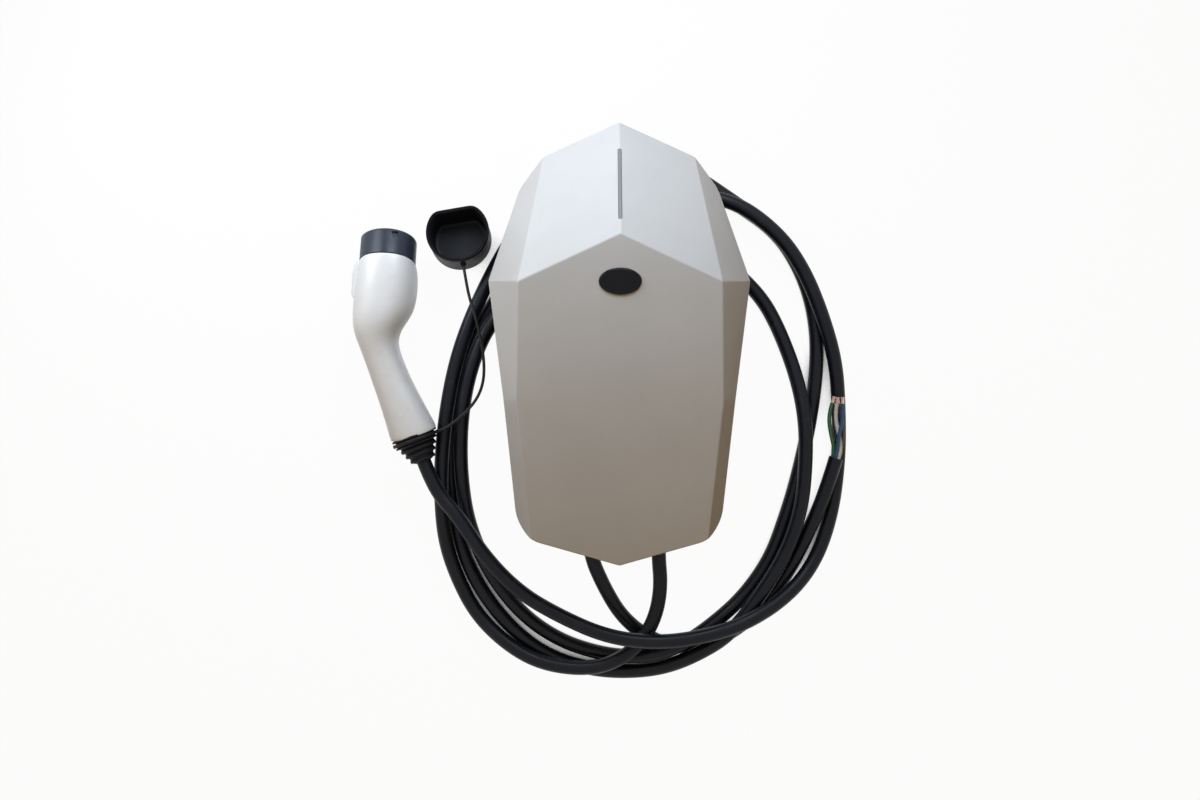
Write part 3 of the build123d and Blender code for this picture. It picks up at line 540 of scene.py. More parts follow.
def makeCover():
    hollow = makeBlock("hollow", cover["wall"], cover["rim"] - cover["openBelow"])
    done()
    piece = makeBlock("frontCover", 0, cover["rim"])
    pick("EDGE", isCrease)
    bevel(cover["creaseRound"], cover["creaseSteps"])
    pick("EDGE", isWallTop)
    bevel(cover["edgeRound"], cover["edgeSteps"])
    selectAll()
    bpy.ops.mesh.dissolve_degenerate(threshold=tolerance["sliver"] * mm)
    done()
    cutBy(piece, hollow)
    play = 2 * cover["play"]
    slot = makeSlot("slotCutter", lightBar["width"] + play, lightBar["length"] + play, *cover["slotCut"])
    cutBy(piece, slot)
    cutBy(piece, makeOval("seatCutter", badge["width"] + play, badge["height"] + play, badge["seat"]))
    editing(piece)
    done(smoothAngle=32, weighted=True)
    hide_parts("front_cover")
    return piece


# light bar, behind a slot that follows the ridge
lightBar = {
    "length": 83.4, "width": 3.2, "middleY": 147, "sunk": 0.6, "depth": 6.9,
    "endSteps": 8, "endShare": 0.999, "edgeRound": 0.25, "sharpAngle": 50, "smoothAngle": 40,
}


def makeSlot(name, width, length, low, high):
    bpy.ops.object.select_all(action="DESELECT")
    bpy.ops.mesh.primitive_plane_add(size=mm)
    piece = opened(name, "light")
    bpy.ops.transform.resize(value=(width, length, 1))
    bpy.ops.transform.translate(value=(0, 0, low * mm))
    # the ends are rounded by a little less than half the width, so that no two points meet
    bevel(width / 2 * lightBar["endShare"], lightBar["endSteps"], "VERTICES")
    selectAll()
    push(high - low)
    done()
    height = cover["depth"] - (lightBar["middleY"] - cover["ridgeY"]) * math.tan(ridgeFall)
    return setPlace(piece, (0, lightBar["middleY"], height), ridgeNormal, (1, 0, 0))


def makeLightBar():
    low, high = -lightBar["depth"], -lightBar["sunk"]
    piece = makeSlot("lightBar", lightBar["width"], lightBar["length"], low, high)
    activate(piece)
    sharp = {"limit_method": "ANGLE", "angle_limit": math.radians(lightBar["sharpAngle"])}
    finishWith("BEVEL", width=lightBar["edgeRound"] * mm, segments=2, **sharp)
    smooth(lightBar["smoothAngle"])
    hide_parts("light_bar")
    return piece


# badge: a plain domed oval, glossy black
badge = {
    "width": 39, "height": 24, "y": 54, "sides": 96, "smoothAngle": 35, "seat": [(1, -1), (1, 3)],
    # shares of half the width, with their heights
    "profile": [(0.97, -1.0), (1.0, -0.7), (1.0, 0.7), (0.985, 1.25), (0.95, 1.7), (0.90, 1.95),
                (0.86, 1.95), (0.83, 1.75), (0.80, 1.72), (0.7, 1.95), (0.55, 2.15), (0.35, 2.3),
                (0.15, 2.36)],
}


def makeOval(name, width, height, profile):
    rings = [(share * width / 2, level) for share, level in profile]
    piece = lathe(name, "badge", rings, badge["sides"], badge["smoothAngle"], scaled=height / width)
    return setPlace(piece, (0, badge["y"], frontHeight(badge["y"])), frontPlane[1], (1, 0, 0))


def makeBadge():
    piece = makeOval("ovalBadge", badge["width"], badge["height"], badge["profile"])
    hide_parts("oval_badge")
    return piece


# cable glands in the housing's lower wall; only their nuts are remade
gland = {
    "face": -150, "height": 30, "start": 10, "across": 30, "hexLength": 9, "hexRound": 0.6,
    "dome": [(14.3, 19), (14.7, 19.5), (14.7, 24), (13.9, 25.6), (11.8, 27.3), (9.8, 28), (7.7, 28),
             (7.6, 22)],
    "flutes": 24, "fluteEdge": 0.12, "fluteDepth": 0.35, "leastFlute": 3, "smoothAngle": 30,
}
glandPlaces = {"charge": 40, "supply": -30}


def makeGlandNut(side, x):
    hexPart = circle(side + "GlandNut", "gland", gland["across"] / math.sqrt(3), 6)
    bpy.ops.transform.translate(value=(0, 0, gland["start"] * mm))
    push(gland["hexLength"])
    selectAll()
    bevel(gland["hexRound"], 2)
    done(gland["smoothAngle"])
    dome = lathe(side + "Dome", "gland", gland["dome"], gland["flutes"] * 3, gland["smoothAngle"])
    editing(dome)
    step = 2 * math.pi / (gland["flutes"] * 3)

    def isFlute(face):  # every third of the tall upright faces
        middle = face.calc_center_median()
        third = round(math.atan2(middle.y, middle.x) / step - 0.5) % 3 == 0
        return third and abs(face.normal.z) < 0.1 and face.calc_area() > gland["leastFlute"] * mm ** 2

    pick("FACE", isFlute)
    bpy.ops.mesh.inset(
        thickness=gland["fluteEdge"] * mm, depth=-gland["fluteDepth"] * mm, use_individual=True)
    bpy.ops.object.mode_set(mode="OBJECT")
    place = (x, gland["face"], gland["height"])
    piece = setPlace(joined([hexPart, dome]), place, (0, -1, 0), (1, 0, 0))
    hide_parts(side + "_gland_nut")
    return piece


# the camera over the photograph's middle; scale is millimetres to a pixel at the surface
view = {
    "x": -18.5, "y": -54, "height": 1200, "scale": 1.03, "width": 1200, "middle": (600, 400), "sensor": 36,
}
# connector: the nose dips towards the surface, and its flat side faces left
nose = {
    "tip": (-231, 106.5, 28.4), "dip": 20, "diameter": 56, "flat": 26, "cornerRound": 9, "edgeRound": 3,
    "profile": [(0.84, -35), (0.84, -27.2), (0.985, -27.2), (1.0, -26.8), (1.0, 0)],
    "lip": 0.86, "lipEdge": 0.5, "lipTaper": 0.99, "recess": 16,
    "power": [(0, -1), (-15.5, -1), (15.5, -1), (-8.2, -14), (8.2, -14)], "powerSize": (5.7, 3.9),
    "signal": [(-7.6, 11), (7.6, 11)], "signalSize": (4.2, 2.4),
    # each contact's tower and bore: what is added to their radius, and the height
    "tower": [(0, 0), (0, 14.6), (-0.3, 15.1), (-0.7, 15.3)], "bore": [(0.5, 15.3), (0, 14.9), (0, 1.5)],
    "towerSides": 28, "towerFoot": 0.2,
    "notchPlace": (-219.6, 109.2, 55.4), "notchAxis": (0.42, 0.33, 0.85), "notchSize": 6.4,
    "notchDepth": 3, "notchRound": 0.6,
}
dip = math.radians(nose["dip"])
noseAxis = Vector((0, math.cos(dip), -math.sin(dip)))
noseAlong = Vector((0, -math.sin(dip), -math.cos(dip)))
boot = {
    "start": (-204, -88, 40), "end": (-194, -115, 39), "sides": 64, "smoothAngle": 45,
    # a spigot in the grip, the collar behind it and the groove for the strap's ring
    "front": [(19.5, -5), (20, 0.1), (22.3, 0.4), (22.9, 1.0), (22.9, 2.1), (22.3, 2.7), (20.2, 3),
              (20, 3.3), (20, 7.6)],
    # start, end, radius and the radius of the web after it
    "ribs": [(8.0, 9.9, 21.8, 17.2), (12.0, 15.6, 18.2, 14.6), (18.0, 21.4, 15.6, 12.4),
             (24.0, 27.4, 12.8, 9.6)],
    "back": [(8.4, 28.6), (7.6, 28.9)],
}
bootAxis = (Vector(boot["end"]) - Vector(boot["start"])).normalized()


def flattened(name, finish, diameter, flat, cornerRound, cornerSteps=6, flatSteps=5, arcSteps=58):
    # a disc with one flat on its +Y side and rounded corners
    outer = diameter / 2
    reach = math.sqrt((outer - cornerRound) ** 2 - (flat - cornerRound) ** 2)
    first = math.atan2(flat - cornerRound, reach)
    right = []
    for step in range(cornerSteps + 1):
        angle = first + (math.pi / 2 - first) * step / cornerSteps
        x, y = cornerRound * math.cos(angle), cornerRound * math.sin(angle)
        right.append((reach + x, flat - cornerRound + y))
    edge = [(reach - 2 * reach * step / flatSteps, flat) for step in range(1, flatSteps)]
    arc = [math.pi - first + (math.pi + 2 * first) * step / arcSteps for step in range(1, arcSteps)]
    ring = right + edge + [(-x, y) for x, y in reversed(right)]
    ring += [(outer * math.cos(angle), outer * math.sin(angle)) for angle in arc]
    return outline(name, finish, [(x, y, 0) for x, y in ring])


def makeNose():
    piece = flattened("connectorNose", "nose", nose["diameter"], nose["flat"], nose["cornerRound"])
    share, height = nose["profile"][0]
    bpy.ops.transform.translate(value=(0, 0, height * mm))
    bpy.ops.transform.resize(value=(share, share, 1))
    rise(nose["profile"])
    bevel(nose["edgeRound"], 6)
    pick("FACE", lambda f: f.normal.z > 0.99 and f.calc_center_median().z > -0.1 * mm)
    push(0, nose["lip"])
    push(-nose["lipEdge"], nose["lipTaper"], -nose["lipEdge"])
    push(nose["lipEdge"] - nose["recess"])
    done(smoothAngle=40)
    setPlace(piece, nose["tip"], noseAxis, noseAlong)
    towers = []
    for kind in ("power", "signal"):
        outer, inner = nose[kind + "Size"]
        profile = [(outer + more, height) for more, height in nose["tower"]]
        profile += [(inner + more, height) for more, height in nose["bore"]]
        first = lathe("contactTowers", "nose", profile, nose["towerSides"])
        for x, y in nose[kind]:
            tower = copyOf(first, "contactTower")
            tower.location = (x * mm, y * mm, (-nose["towerFoot"] - nose["recess"]) * mm)
            towers.append(tower)
        bpy.data.objects.remove(first)
    block = joined(towers)
    bpy.ops.object.transform_apply(location=True, rotation=True, scale=True)
    block.name = "contactTowers"
    setPlace(block, nose["tip"], noseAxis, noseAlong)
    cutBy(piece, makeNotch())
    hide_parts("connector_nose")
    return [piece, block]


def makeNotch():
    # cuts the small catch window near the nose's upper right
    depth = nose["notchDepth"]
    piece = circle("notch", "nose", nose["notchSize"] / math.sqrt(2), 4)
    bpy.ops.transform.rotate(value=math.pi / 4, orient_axis="Z", center_override=(0, 0, 0))
    bpy.ops.transform.translate(value=(0, 0, -depth * mm))
    push(2 * depth)
    selectAll()
    bevel(nose["notchRound"], 2)
    done()
    return setPlace(piece, nose["notchPlace"], nose["notchAxis"], (1, 0, -0.5))


# edges of the grip in the photograph, left and right in turn, with the height of its middle,
# half its own height and how far the section leans towards the nose
gripStations = [
    ((359.6, 265.5), (416.4, 266.5), 37.6, 29.4, 20), ((358.4, 272), (417.2, 272), 38.2, 29.9, 18),
    ((356.6, 284), (417.4, 284), 39.3, 30.4, 12), ((354.6, 297), (416.4, 296), 40.3, 30.4, 7),
    ((353.9, 310), (414.6, 306), 41.2, 30.0, 3), ((353.3, 321), (411.0, 315), 41.8, 29.2, 0),
    ((354.3, 331), (405.6, 323.5), 42.0, 27.6, -2), ((358.2, 342), (399.8, 332), 41.9, 25.0, -3),
    ((362.8, 354), (397.6, 342.5), 41.6, 22.6, -3), ((367.9, 368), (401.0, 355), 41.3, 21.3, -3),
    ((373.8, 385), (407.6, 371.5), 41.0, 20.7, -3), ((380.3, 404), (416.6, 390), 40.7, 21.0, -4),
    ((386.2, 423), (427.0, 409), 40.3, 22.0, -6), ((391.0, 440.2), (436.2, 426.2), 40.0, 23.2, -10),
]
# the mouth's rings are (inset, forwards), the end's are insets
grip = {
    "sides": 48, "squareness": 2.25, "smoothAngle": 50,
    "mouth": [(2.6, -0.5), (2.6, 0), (0.7, 0.35), (0.15, -0.6)], "end": [0.8, 3],
}


def fromPhoto(px, py, z):
    # a place in the 1200 x 800 photograph, at a height above the surface
    scale = view["scale"] * (view["height"] - z) / view["height"]
    middleX, middleY = view["middle"]
    return Vector(((px - middleX) * scale + view["x"], (middleY - py) * scale + view["y"], z))


def stationMatrix(station, inset=0.0, forwards=0.0):
    left, right, z, half, lean = station
    first, second = fromPhoto(*left, z), fromPhoto(*right, z)
    across = (second - first).normalized()
    forward = Vector((0, 0, 1)).cross(across).normalized()
    up = Vector((0, 0, math.cos(math.radians(lean)))) + forward * math.sin(math.radians(lean))
    width = (second - first).length / 2 - inset
    turn = Matrix((across * width, up * (half - inset), across.cross(up))).transposed().to_4x4()
    return Matrix.Translation((first + second) / 2 + noseAxis * forwards) @ turn


def carry(matrix):
    # moves the selection by a matrix that is written in millimetres
    mesh = bmesh.from_edit_mesh(bpy.context.object.data)
    inMetres = Matrix.Scale(mm, 4) @ matrix @ Matrix.Scale(1 / mm, 4)
    bmesh.ops.transform(mesh, matrix=inMetres, verts=[v for v in mesh.verts if v.select])
    bmesh.update_edit_mesh(bpy.context.object.data)


def makeGrip():
    places = [stationMatrix(gripStations[0], inset, forwards) for inset, forwards in grip["mouth"]]
    places += [stationMatrix(station) for station in gripStations[1:]]
    places += [stationMatrix(gripStations[-1], inset) for inset in grip["end"]]
    piece = circle("connectorShell", "grip", 1, grip["sides"])
    mesh = bmesh.from_edit_mesh(piece.data)
    power = 2 / grip["squareness"]
    for vertex in mesh.verts:  # a circle made a little squarer
        c, s = vertex.co.x / mm, vertex.co.y / mm
        vertex.co = (math.copysign(abs(c) ** power, c) * mm, math.copysign(abs(s) ** power, s) * mm, 0)
    carry(places[0])
    for before, after in zip(places, places[1:]):
        push(0)
        carry(after @ before.inverted())
    done()
    finishWith("SUBSURF", levels=2, render_levels=2)
    smooth(grip["smoothAngle"])
    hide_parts("connector_shell")
    return piece


# the raised pad on the grip's left side, traced at the height of its middle
thumbPad = {
    "edge": [(366, 262.5), (362, 262), (359, 263), (356.8, 266.5), (355.6, 272), (354.6, 284), (354, 292),
             (354.6, 297), (357.5, 300.5), (366, 301)],
    "middle": 38.5, "half": 14, "round": 1.1,
}


def makeThumbPad():
    half = thumbPad["half"]
    edge = [fromPhoto(*place, thumbPad["middle"]) - Vector((0, 0, half)) for place in thumbPad["edge"]]
    piece = outline("thumbPad", "grip", edge)
    push(2 * half)
    selectAll()
    bevel(thumbPad["round"], 3)
    done(smoothAngle=50, weighted=True)
    return piece


def makeBoot():
    profile = list(boot["front"])
    for start, end, radius, web in boot["ribs"]:  # with softened edges
        profile += [(radius - 0.7, start), (radius, start + 0.6), (radius, end - 0.7), (radius - 0.8, end)]
        profile += [(web + 0.5, end + 0.2), (web, end + 0.7)]
    piece = lathe("bendRelief", "boot", profile + boot["back"], boot["sides"], boot["smoothAngle"])
    setPlace(piece, boot["start"], bootAxis, (0, 0, 1))
    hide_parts("bend_relief")
    return piece


# a band in the boot's groove, with an eye that holds the strap
strapRing = {
    "place": 5.5, "outer": 23.5, "inner": 20.1, "half": 1.7, "edge": 0.6,
    "eyePlace": 22.8, "eye": [(1.9, -0.6), (1.9, 3.2), (1.7, 3.7), (0.6, 3.9)], "eyeSides": 20,
}


def makeStrapRing():
    outer, inner = strapRing["outer"], strapRing["inner"]
    half, edge = strapRing["half"], strapRing["edge"]
    band = [(inner, -half), (outer - edge, -half), (outer, edge - half), (outer, half - edge)]
    band += [(outer - edge, half), (inner, half), (inner, -half)]
    ring = lathe("strapRing", "boot", band, boot["sides"], boot["smoothAngle"], filled=False)
    middle = Vector(boot["start"]) + bootAxis * strapRing["place"]
    setPlace(ring, middle, bootAxis, (0, 0, 1))
    out = Vector((0, 0, 1)).cross(bootAxis).normalized()
    eye = lathe("strapEye", "boot", strapRing["eye"], strapRing["eyeSides"])
    setPlace(eye, middle + out * strapRing["eyePlace"], out, (0, 0, 1))
    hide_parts("strap_ring")
    return [ring, eye]


# dust cap, taken off and lying open
cap = {
    "base": (-160, 107.5, 5), "axis": (-0.0194, 0.1944, 1), "turn": 10,
    "diameter": 62.3, "flat": 24.2, "cornerRound": 12, "wall": 3,
    # shares of the outline's size, with their heights
    "rim": [(1.0, 0), (1.0, 30.6), (1.012, 31.2), (1.012, 34.6), (1.004, 35.5), (0.985, 36)],
    "floorRound": 7, "floorSteps": 8, "smoothAngle": 42,
    "tabHeight": 26, "tabSides": 20, "tab": [(2.9, -1.5), (2.9, 1.4), (2.5, 2.4), (1.9, 3.1), (0.5, 3.3)],
}


def makeCap():
    turn = math.radians(cap["turn"])
    along = Vector((math.cos(turn), math.sin(turn), 0))
    piece = flattened("dustCap", "cap", cap["diameter"], cap["flat"], cap["cornerRound"])
    rise(cap["rim"])
    selectAll()
    bpy.ops.mesh.normals_make_consistent(inside=False)
    pick("FACE", lambda f: f.normal.z < -0.99)
    bevel(cap["floorRound"], cap["floorSteps"])
    pick("FACE", lambda f: f.normal.z > 0.99)
    bpy.ops.mesh.delete(type="ONLY_FACE")
    bpy.ops.object.mode_set(mode="OBJECT")
    finishWith("SOLIDIFY", thickness=cap["wall"] * mm, offset=-1, use_even_offset=False)
    editing(piece)
    done(cap["smoothAngle"])
    axis = Vector(cap["axis"]).normalized()
    setPlace(piece, cap["base"], axis, along)
    out = -axis.cross(along).normalized()
    root = Vector(cap["base"]) + axis * cap["tabHeight"] + out * cap["diameter"] / 2
    eye = setPlace(lathe("capTab", "cap", cap["tab"], cap["tabSides"]), root, out, (0, 0, 1))
    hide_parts("dust_cap")
    return [piece, eye]


# cords, along the same points as the solids, apart from the black core's end
chargeRoute = [
    (40, -178, 30), (40, -208, 30), (43, -243, 29.5), (36, -277, 28.5), (17, -305, 27.5),
    (-12, -322, 26), (-45, -325, 25), (-83, -318, 23), (-116, -300, 15), (-146, -272, 7.5),
    (-165, -234, 10), (-176, -197, 17), (-179, -155, 24), (-178.5, -110, 24), (-173.5, -63, 24.5),
    (-164, -15, 25), (-149, 29, 24), (-125, 84, 12), (-92, 137, 7.5), (-45, 179, 7.5),
    (12, 191, 7.5), (71, 181, 7.5), (118, 149, 7.5), (163, 118, 7.5), (189, 76, 7.5),
    (202, 31, 7.5), (204, -16, 7.5), (197, -74, 7.5), (183, -136, 7.5), (170, -178, 7.5),
    (155, -218, 7.5), (128, -255, 10), (95, -281, 22), (66, -300, 26), (38, -312, 20),
    (10, -316, 10.5), (-20, -313, 7.5), (-60, -300, 7.5), (-98, -274, 7.5), (-131, -232, 9),
    (-152, -181, 18), (-159, -130, 25), (-159, -79, 25), (-152, -32, 25), (-135, 16, 23),
    (-104, 55, 13), (-72, 89, 7.5), (-29, 115, 7.5), (18, 123, 7.5), (67, 114, 7.5),
    (109, 87, 7.5), (144, 55, 7.5), (163, 22, 9), (181, -28, 15), (189, -74, 25),
    (189, -121, 25), (185, -165, 21.5), (170, -209, 21.5), (143, -251, 25.5), (112, -291, 27),
    (77, -312, 25), (47, -326, 15), (13, -332, 7.5), (-26, -330, 7.5), (-70, -317, 7.5),
    (-108, -290, 7.5), (-142, -247, 7.5), (-163, -199, 7.5), (-171, -146, 7.5), (-171, -91, 7.5),
    (-163, -36, 7.5), (-146, 14, 7.5), (-116, 63, 7.5), (-82, 110, 7.5), (-35, 146, 7.5),
    (14, 159, 10), (67, 153, 22), (116, 148, 25), (161, 115, 25), (187, 78, 25),
    (206, 32, 24), (222, -15, 12), (226, -64, 7.5), (226, -113, 7.5), (219, -170, 7.5),
    (202, -218, 10), (172, -251, 25), (127, -276, 43), (81, -290, 44), (35, -295, 44.5),
    (-12, -289, 43), (-57, -270, 40), (-98, -247, 37), (-133, -211, 40), (-160, -169, 42),
    (-183.6, -143.1, 37.9), (-194, -115, 39),
]
supplyRoute = [
    (-30, -178, 30), (-30, -206, 30), (-14, -244, 23), (4, -275, 13), (30, -297, 7.5),
    (63, -308, 7.5), (97, -302, 7.5), (128, -284, 7.5), (154, -258, 7.5), (175, -228, 7.5),
    (193, -192, 9), (209.5, -150, 18.5), (220, -112.5, 22.5),
]
coreRoutes = {
    "core_green": [
        (216.7, -111.5, 21.9), (218.6, -104.8, 22.6), (215.3, -90.2, 22.3),
        (213, -77, 22.3), (213.7, -66, 22), (216.5, -57, 21.5)],
    "core_blue": [
        (218.3, -112.4, 25.6), (220.2, -105.7, 26.3), (221, -93, 28.6),
        (224.2, -80, 28), (226, -68, 27.5), (226, -58, 26.5)],
    "core_grey": [
        (222.3, -113.4, 25), (224.1, -106.7, 25.7), (223.9, -93.5, 23.9),
        (220.8, -80, 22.7), (219.6, -68, 22.9), (220.6, -58, 23.6)],
    "core_brown": [
        (223.1, -113.2, 21), (225, -106.5, 21.7), (227.3, -94, 20.8),
        (227.5, -80, 20.8), (225.3, -68, 20.5), (223.3, -58, 20)],
    "core_black": [
        (219.6, -112, 19), (221.5, -105.3, 19.8), (221.3, -93, 18.2),
        (219.4, -80, 18), (218.6, -68, 17.6), (218.6, -59, 17.4)],
}
strapRoute = [
    (-154.6, 79.1, 37.1), (-153.2, 71.4, 38.6), (-149.5, 49, 35), (-142.5, 29, 38), (-137.5, 6, 38),
    (-134, -15, 38), (-134.5, -36, 38), (-141, -53, 38), (-153, -67, 38.3), (-169.7, -81.2, 39.8),
    (-177.2, -84, 39.8),
]
# solid is the node that the cord stands for, smooth the steps between two points of its route
cable = {"diameter": 14.5, "finish": "cable", "slot": "cable_rubber", "sides": 8}
cords = {
    "chargeCable": {"route": chargeRoute, "solid": "charge_cable", "smooth": 8, **cable},
    "supplyCable": {"route": supplyRoute, "solid": "supply_cable", "smooth": 10, **cable},
    "capStrap": {
        "route": strapRoute, "diameter": 3, "finish": "strap",
        "solid": "cap_strap", "slot": "strap_black", "sides": 4, "smooth": 10},
}
for solid, route in coreRoutes.items():
    word = solid.split("_")[1].capitalize()
    cords["wire" + word] = {
        "route": route, "diameter": 4, "finish": "core" + word,
        "solid": solid, "slot": solid, "sides": 5, "smooth": 10}


def makeCord(name, cord):
    curve = bpy.data.curves.new(name, "CURVE")
    curve.dimensions = "3D"
    spline = curve.splines.new("NURBS")
    spline.points.add(len(cord["route"]) - 1)
    for point, place in zip(spline.points, cord["route"]):
        point.co = (*(Vector(place) * mm), 1)
    spline.order_u = 3
    spline.use_endpoint_u = True
    spline.resolution_u = cord["smooth"]
    curve.bevel_depth = cord["diameter"] / 2 * mm
    curve.bevel_resolution = cord["sides"]
    curve.use_fill_caps = True
    curve.materials.append(finishes[cord["finish"]])
    piece = bpy.data.objects.new(name, curve)
    scene.collection.objects.link(piece)
    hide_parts(cord["solid"])
    return piece


def cordLength(route):
    # length of the spline that the points steer, by its quadratic stretches
    points = [Vector(place) for place in route]
    ends = [points[0]] + [(a + b) / 2 for a, b in zip(points[1:-1], points[2:-1])] + [points[-1]]
    total = 0.0
    for start, steer, end in zip(ends, points[1:-1], ends[1:]):
        before = start
        for step in range(1, 13):
            t = step / 12
            here = start * (1 - t) ** 2 + steer * 2 * t * (1 - t) + end * t * t
            total += (here - before).length
            before = here
    return total * mm


# bare copper at the cores' ends: a twist of fine wires that opens a little
strands = {
    "wire": 0.52, "around": 6, "reach": 1.0, "splay": 0.5, "twist": 1.3,
    "start": -0.6, "length": 7.4, "steps": 6, "sides": 8,
}


def makeStrand(reach):
    # one wire of the twist
    def middle(level):
        share = level / strands["steps"]
        out = reach * (1 + strands["splay"] * share ** 2)
        angle = strands["twist"] * share
        height = strands["start"] + strands["length"] * share
        return Vector((out * math.cos(angle), out * math.sin(angle), height)) * mm

    piece = circle("strand", "copper", strands["wire"], strands["sides"])
    bpy.ops.transform.translate(value=middle(0))
    for level in range(strands["steps"]):
        move = middle(level + 1) - middle(level)
        bpy.ops.mesh.extrude_region_move(TRANSFORM_OT_translate={"value": move})
    done(smoothAngle=50)
    return piece


def makeTips():
    twist = [makeStrand(0.0)]
    outer = makeStrand(strands["reach"])
    for index in range(strands["around"]):
        wire = copyOf(outer, "strand")
        wire.rotation_euler = (0, 0, 2 * math.pi * index / strands["around"])
        twist.append(wire)
    bpy.data.objects.remove(outer)
    bundle = joined(twist)
    bpy.ops.object.transform_apply(location=True, rotation=True, scale=True)
    tips = []
    for route in coreRoutes.values():
        end = Vector(route[-1])
        tips.append(setPlace(copyOf(bundle, "tip"), end, end - Vector(route[-2]), (0, 0, 1)))
    bpy.data.objects.remove(bundle)
    piece = joined(tips)
    piece.name = "copperTips"
    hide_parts("bare_tips")
    return piece


# finishes of the nodes that stay as the solids are
nodeFinishes = {
    "housing": ["rear_housing"],
    "seal": ["housing_seal", "charge_gland_washer", "supply_gland_washer", "charge_gland_seal",
             "supply_gland_seal"],
    "gland": ["charge_gland_body", "supply_gland_body", "charge_gland_locknut", "supply_gland_locknut"],
    "steel": ["cover_screws", "board_screws"],
    "board": ["light_board", "main_board", "control_board", "reader_board"],
    "component": ["power_relays", "current_sensor", "power_module", "control_modules"],
    "terminal": ["charge_terminals", "supply_terminals"],
    "can": ["capacitors"],
    "brass": ["control_pillars"],
    "cable": ["charge_tail", "supply_tail"],
    "silver": ["power_sleeves", "signal_sleeves"],
}


def dressNodes():
    for finish, names in nodeFinishes.items():
        for name in names:
            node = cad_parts[name]
            node.data.materials.clear()
            node.data.materials.append(finishes[finish])


# floor, light and camera
room = {
    "floorSize": 6, "floorDrop": 0.4, "floorShadow": 0.04, "floorTone": (0.95, 0.95, 0.95),
    "bounce": (0.16, 0.13, 0.10), "fill": (1.0, 0.53, 0.03), "fillStrength": 0.17,
    # slits between cords, with painted shade: how far a ray looks, its open share from dark to pale, and
    # the shade's strength
    "gapReach": 0.02, "gapRange": (0.12, 0.5), "paintedSlitShade": 0.04, "gapSamples": 8,
}
# places and sizes in metres, power in watts
lamps = {
    "left": {
        "place": (-0.52, 0.37, 0.35), "aim": (0.0, 0.04, 0.1), "size": (0.35, 0.3),
        "power": 2.35, "colour": (0.86, 0.92, 0.98)},
    "top": {
        "place": (0.02, 0.46, 0.47), "aim": (0.0, 0.04, 0.1), "size": (0.35, 0.25),
        "power": 2.3, "colour": (0.73, 0.86, 1.0)},
}


def seenDirectly(tree):
    # 1 for rays from the camera and in reflections, which see the pale background
    words = ("Camera", "Glossy", "Transmission")
    first, second, third = (tree.node("ShaderNodeLightPath", out="Is " + word + " Ray") for word in words)
    return first.maths("MAXIMUM", first, second.maths("MAXIMUM", second, third))


def makeFloor():
    bpy.ops.object.select_all(action="DESELECT")
    bpy.ops.mesh.primitive_plane_add(size=room["floorSize"], location=(0, 0, -room["floorDrop"] * mm))
    floor = bpy.context.object
    floor.name = "floor"
    material = bpy.data.materials.new("paleFloor")
    material.use_nodes = True
    material.node_tree.nodes.clear()
    tree = Tree(material.node_tree)
    # the floor stays pale, but shade is painted into the slits between cords
    settings, reach = {"samples": room["gapSamples"]}, {"Distance": room["gapReach"]}
    openShare = tree.node("ShaderNodeAmbientOcclusion", settings, reach, "AO")
    paleShare = tree.node("ShaderNodeMapRange", {"interpolation_type": "SMOOTHSTEP"}, {
        "Value": openShare, "From Min": room["gapRange"][0], "From Max": room["gapRange"][1]})
    dark, white = (
        tree.node("ShaderNodeEmission", sockets={"Color": (1, 1, 1, 1), "Strength": strength})
        for strength in (room["paintedSlitShade"], 1.0))
    floorWithPaintedSlitShade = tree.node("ShaderNodeMixShader", sockets={0: paleShare, 1: dark, 2: white})
    shadowed = tree.node("ShaderNodeBsdfDiffuse", sockets={"Color": (*room["floorTone"], 1)})
    pale = tree.node("ShaderNodeMixShader", sockets={0: room["floorShadow"], 1: floorWithPaintedSlitShade, 2: shadowed})
    bounce = tree.node("ShaderNodeBsdfDiffuse", sockets={"Color": (*room["bounce"], 1)})
    surface = tree.node("ShaderNodeMixShader", sockets={0: seenDirectly(tree), 1: bounce, 2: pale})
    tree.node("ShaderNodeOutputMaterial", sockets={"Surface": surface}, out=None)
    floor.data.materials.append(material)


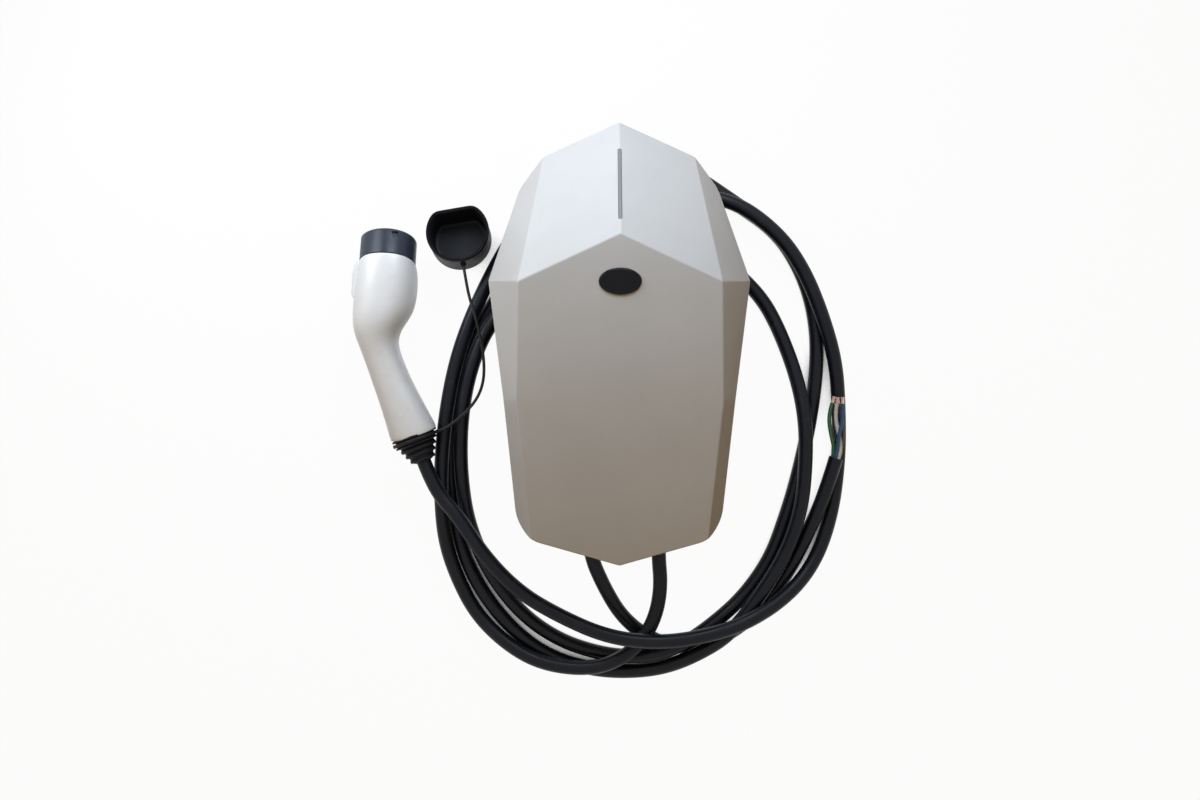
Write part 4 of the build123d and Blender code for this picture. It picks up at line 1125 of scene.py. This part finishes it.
def makeWorld():
    world = bpy.data.worlds.new("studio")
    scene.world = world
    world.use_nodes = True
    world.node_tree.nodes.clear()
    tree = Tree(world.node_tree)
    white = tree.node("ShaderNodeBackground", sockets={"Color": (1, 1, 1, 1), "Strength": 1.0})
    warm = {"Color": (*room["fill"], 1), "Strength": room["fillStrength"]}
    fill = tree.node("ShaderNodeBackground", sockets=warm)
    surface = tree.node("ShaderNodeMixShader", sockets={0: seenDirectly(tree), 1: fill, 2: white})
    tree.node("ShaderNodeOutputWorld", sockets={"Surface": surface}, out=None)


def makeLamps():
    for name, lamp in lamps.items():
        data = bpy.data.lights.new(name, "AREA")
        data.shape = "RECTANGLE"
        data.size, data.size_y = lamp["size"]
        data.energy = lamp["power"]
        data.color = lamp["colour"]
        made = bpy.data.objects.new(name, data)
        scene.collection.objects.link(made)
        made.location = lamp["place"]
        made.rotation_euler = (Vector(lamp["aim"]) - made.location).to_track_quat("-Z", "Y").to_euler()


def makeCamera():
    data = bpy.data.cameras.new("camera")
    data.sensor_width = view["sensor"]
    data.lens = view["sensor"] * view["height"] / (view["width"] * view["scale"])
    camera = bpy.data.objects.new("camera", data)
    scene.collection.objects.link(camera)
    camera.location = Vector((view["x"], view["y"], view["height"])) * mm
    scene.camera = camera


print("camera and cords")
makeCamera()
made = {name: makeCord(name, cord) for name, cord in cords.items()}
pieces = list(made.values()) + [makeTips()]
print("cover, light bar and badge")
pieces += [makeCover(), makeLightBar(), makeBadge()]
print("gland nuts")
pieces += [makeGlandNut(side, x) for side, x in glandPlaces.items()]
print("connector")
connector = makeNose() + [makeGrip(), makeThumbPad(), makeBoot()] + makeStrapRing()
print("dust cap")
pieces += connector + makeCap()
for piece in pieces:
    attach(piece, "root")
sleeves = [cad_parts["power_sleeves"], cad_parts["signal_sleeves"]]
for name, cord in cords.items():
    length, diameter = cordLength(cord["route"]), cord["diameter"] * mm
    if name == "chargeCable":
        connector + sleeves
    elif name == "capStrap":  # it comes out of the boot's ring
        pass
dressNodes()
print("floor and light")
makeFloor()
makeWorld()
makeLamps()
